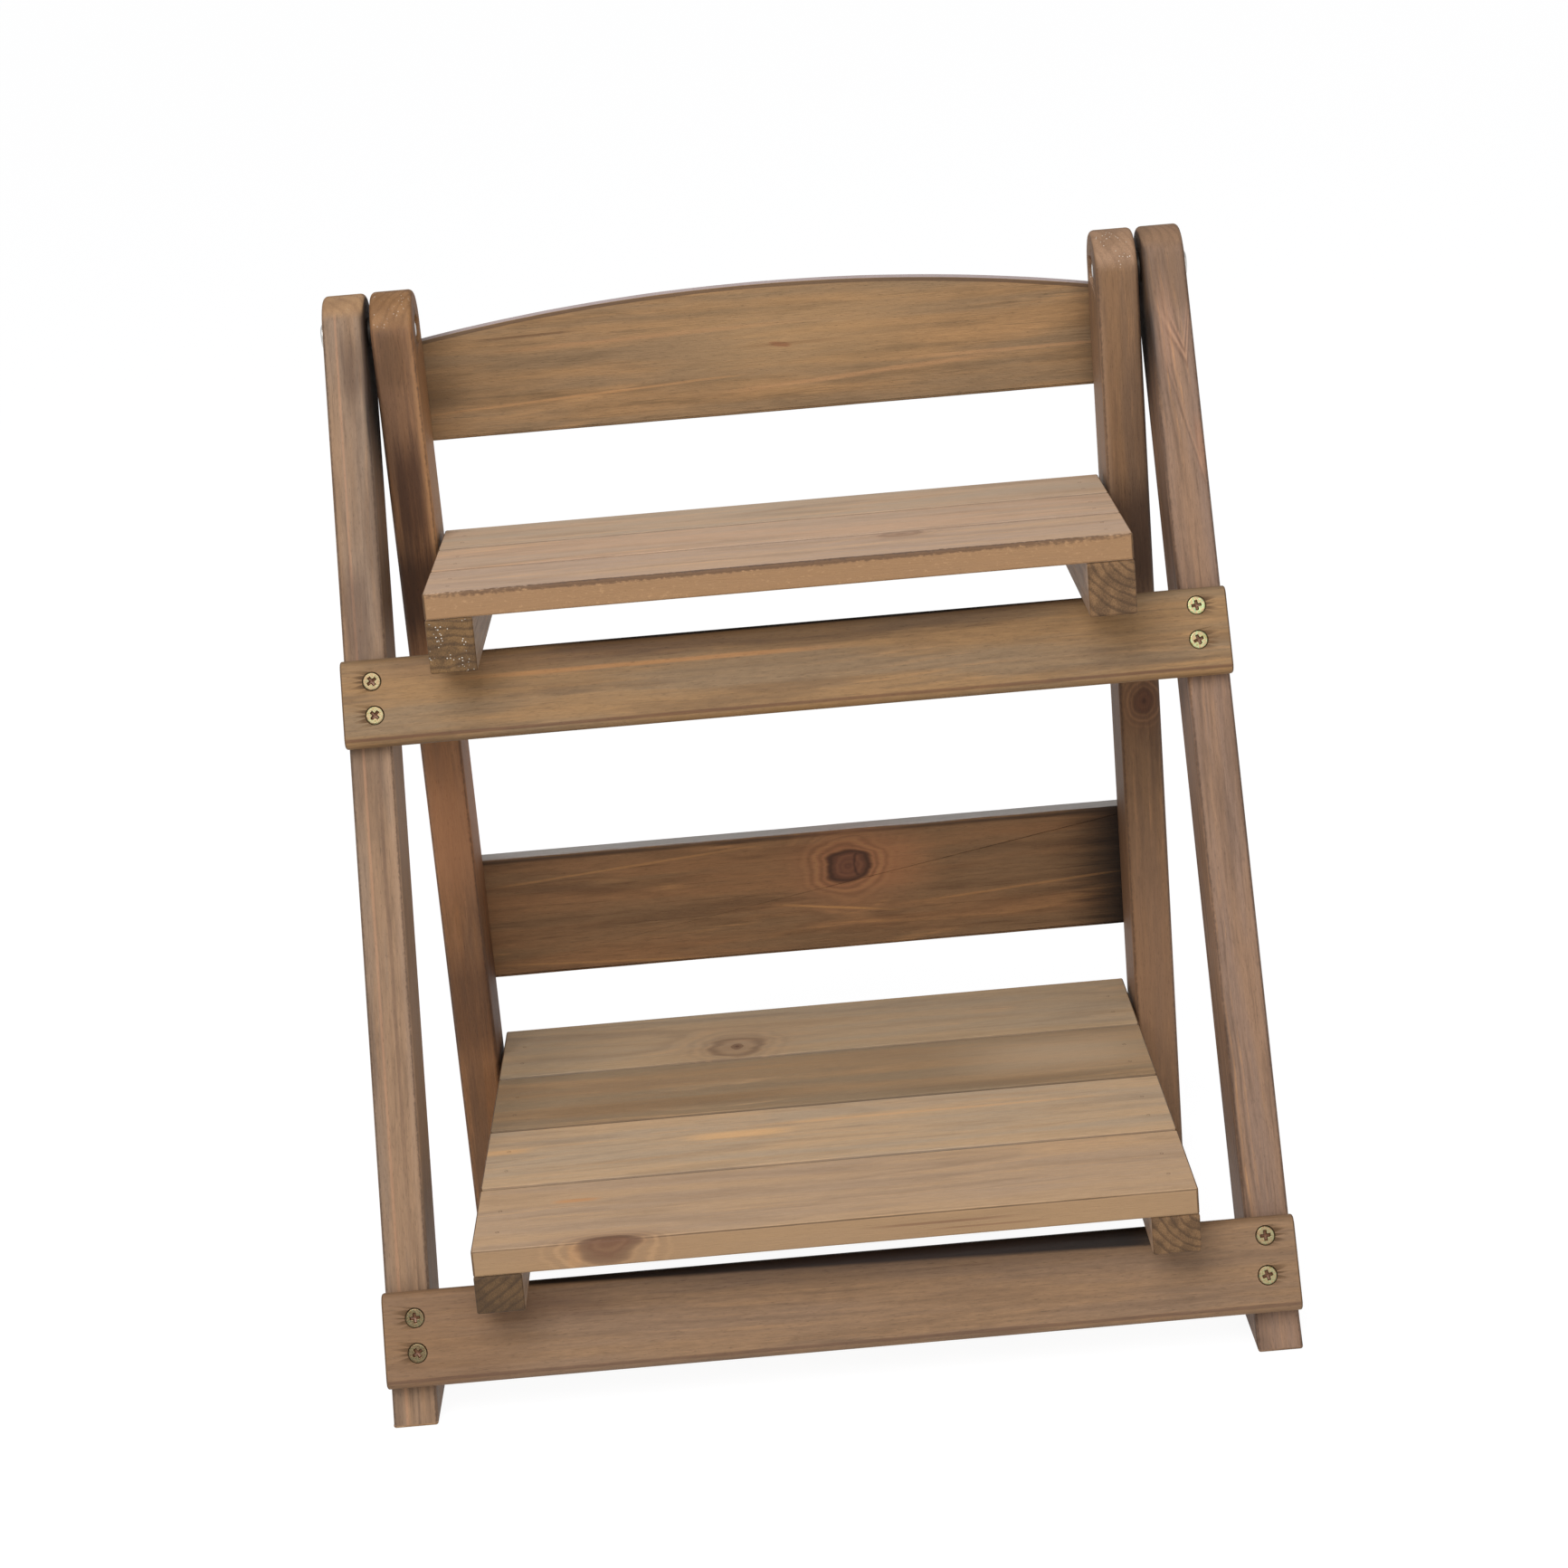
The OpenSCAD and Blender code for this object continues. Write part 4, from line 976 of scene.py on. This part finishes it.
# camera: azimuth, elevation and roll in degrees, its distance and aim in millimetres; focal length and
# shift (across, down) in pixels of a picture that is frame pixels wide
camera = {"azimuth": -0.28, "elevation": 13.20, "roll": 4.89, "distance": 1500.65, "aimX": 3.86,
          "aimZ": 328.15, "focal": 3482.1, "across": 0.5, "down": 250.0, "frame": 1733, "sensor": 36.0}
az, el, roll = (math.radians(camera[k]) for k in ("azimuth", "elevation", "roll"))
toRight = np.array([math.cos(az), math.sin(az), 0])
ahead = np.array([-math.sin(az) * math.cos(el), math.cos(az) * math.cos(el), -math.sin(el)])
overhead = np.cross(toRight, ahead)
rolledRight = math.cos(roll) * toRight - math.sin(roll) * overhead
rolledUp = math.sin(roll) * toRight + math.cos(roll) * overhead
spot = (np.array([camera["aimX"], stand["pivotY"], camera["aimZ"]]) - ahead * camera["distance"]) * mm
lens = bpy.data.cameras.new("viewer")
viewer = linked("viewer", lens)
placed = np.eye(4)
placed[:3] = np.stack([rolledRight, rolledUp, -ahead, spot], 1)
viewer.matrix_world = Matrix(placed.tolist())
lens.sensor_width = camera["sensor"]
lens.lens = camera["focal"] * camera["sensor"] / camera["frame"]
lens.shift_x = -camera["across"] / camera["frame"]
lens.shift_y = -camera["down"] / camera["frame"]
lens.clip_end = 100.0
bpy.context.scene.camera = viewer

# floor: a pale disc; the camera sees it nearly white, with the stand's soft shadow left in
studio = {"floorRadius": 40, "floorDrop": 0.0005, "floorCorners": 96, "sky": 0.45, "backdrop": 1.0,
          "floorLit": (0.75, 0.75, 0.75, 1), "floorSeen": (0.14, 0.14, 0.145, 1),
          "floorGlow": (0.93, 0.93, 0.93, 1)}
corners = studio["floorCorners"]
turn = np.arange(corners) * 2 * math.pi / corners
circle = np.stack([np.cos(turn), np.sin(turn)], 1) * studio["floorRadius"]
floorMesh = bpy.data.meshes.new("floor")
floorMesh.from_pydata(np.column_stack([circle, np.full(corners, -studio["floorDrop"])]).tolist(), [],
                      [list(range(corners))])
floor = linked("floor", floorMesh)
s = Shader(bpy.data.materials.new("paleFloor"))
rays = s.node("LightPath").outputs
lit = s.node("BsdfDiffuse", {"Color": studio["floorLit"]})
faint = s.node("BsdfDiffuse", {"Color": studio["floorSeen"]})
glow = s.node("Emission", {"Color": studio["floorGlow"], "Strength": 1.0})
soft = s.node("AddShader", {0: faint.outputs[0], 1: glow.outputs[0]})
both = s.node("MixShader", {0: s.most(rays["Is Camera Ray"], rays["Is Glossy Ray"]), 1: lit.outputs[0],
                            2: soft.outputs[0]})
s.node("OutputMaterial", {"Surface": both.outputs[0]})
floorMesh.materials.append(s.owner)

# world: even soft light, and plain white where the camera looks past the floor
world = bpy.data.worlds.new("studio")
bpy.context.scene.world = world
s = Shader(world)
sky = s.node("Background", {"Color": (1, 1, 1, 1), "Strength": studio["sky"]})
backdrop = s.node("Background", {"Color": (1, 1, 1, 1), "Strength": studio["backdrop"]})
rays = s.node("LightPath").outputs
blend = s.node("MixShader", {0: rays["Is Camera Ray"], 1: sky.outputs[0], 2: backdrop.outputs[0]})
s.node("OutputWorld", {"Surface": blend.outputs[0]})

lamps = {
    "topBox": {"at": (-0.5, -1.4, 1.75), "aim": (0, 0.05, 0.25), "size": 1.3, "watts": 35.0},
    "frontBox": {"at": (0.7, -2.3, 0.9), "aim": (0, 0, 0.25), "size": 1.5, "watts": 14.0},
}
for name, lamp in lamps.items():
    light = bpy.data.lights.new(name, "AREA")
    light.shape = "SQUARE"
    light.size = lamp["size"]
    light.energy = lamp["watts"]
    holder = linked(name, light)
    holder.location = lamp["at"]
    holder.rotation_euler = (Vector(lamp["aim"]) - Vector(lamp["at"])).to_track_quat("-Z", "Y").to_euler()
bpy.context.scene.view_settings.view_transform = "Standard"
print("studio made")
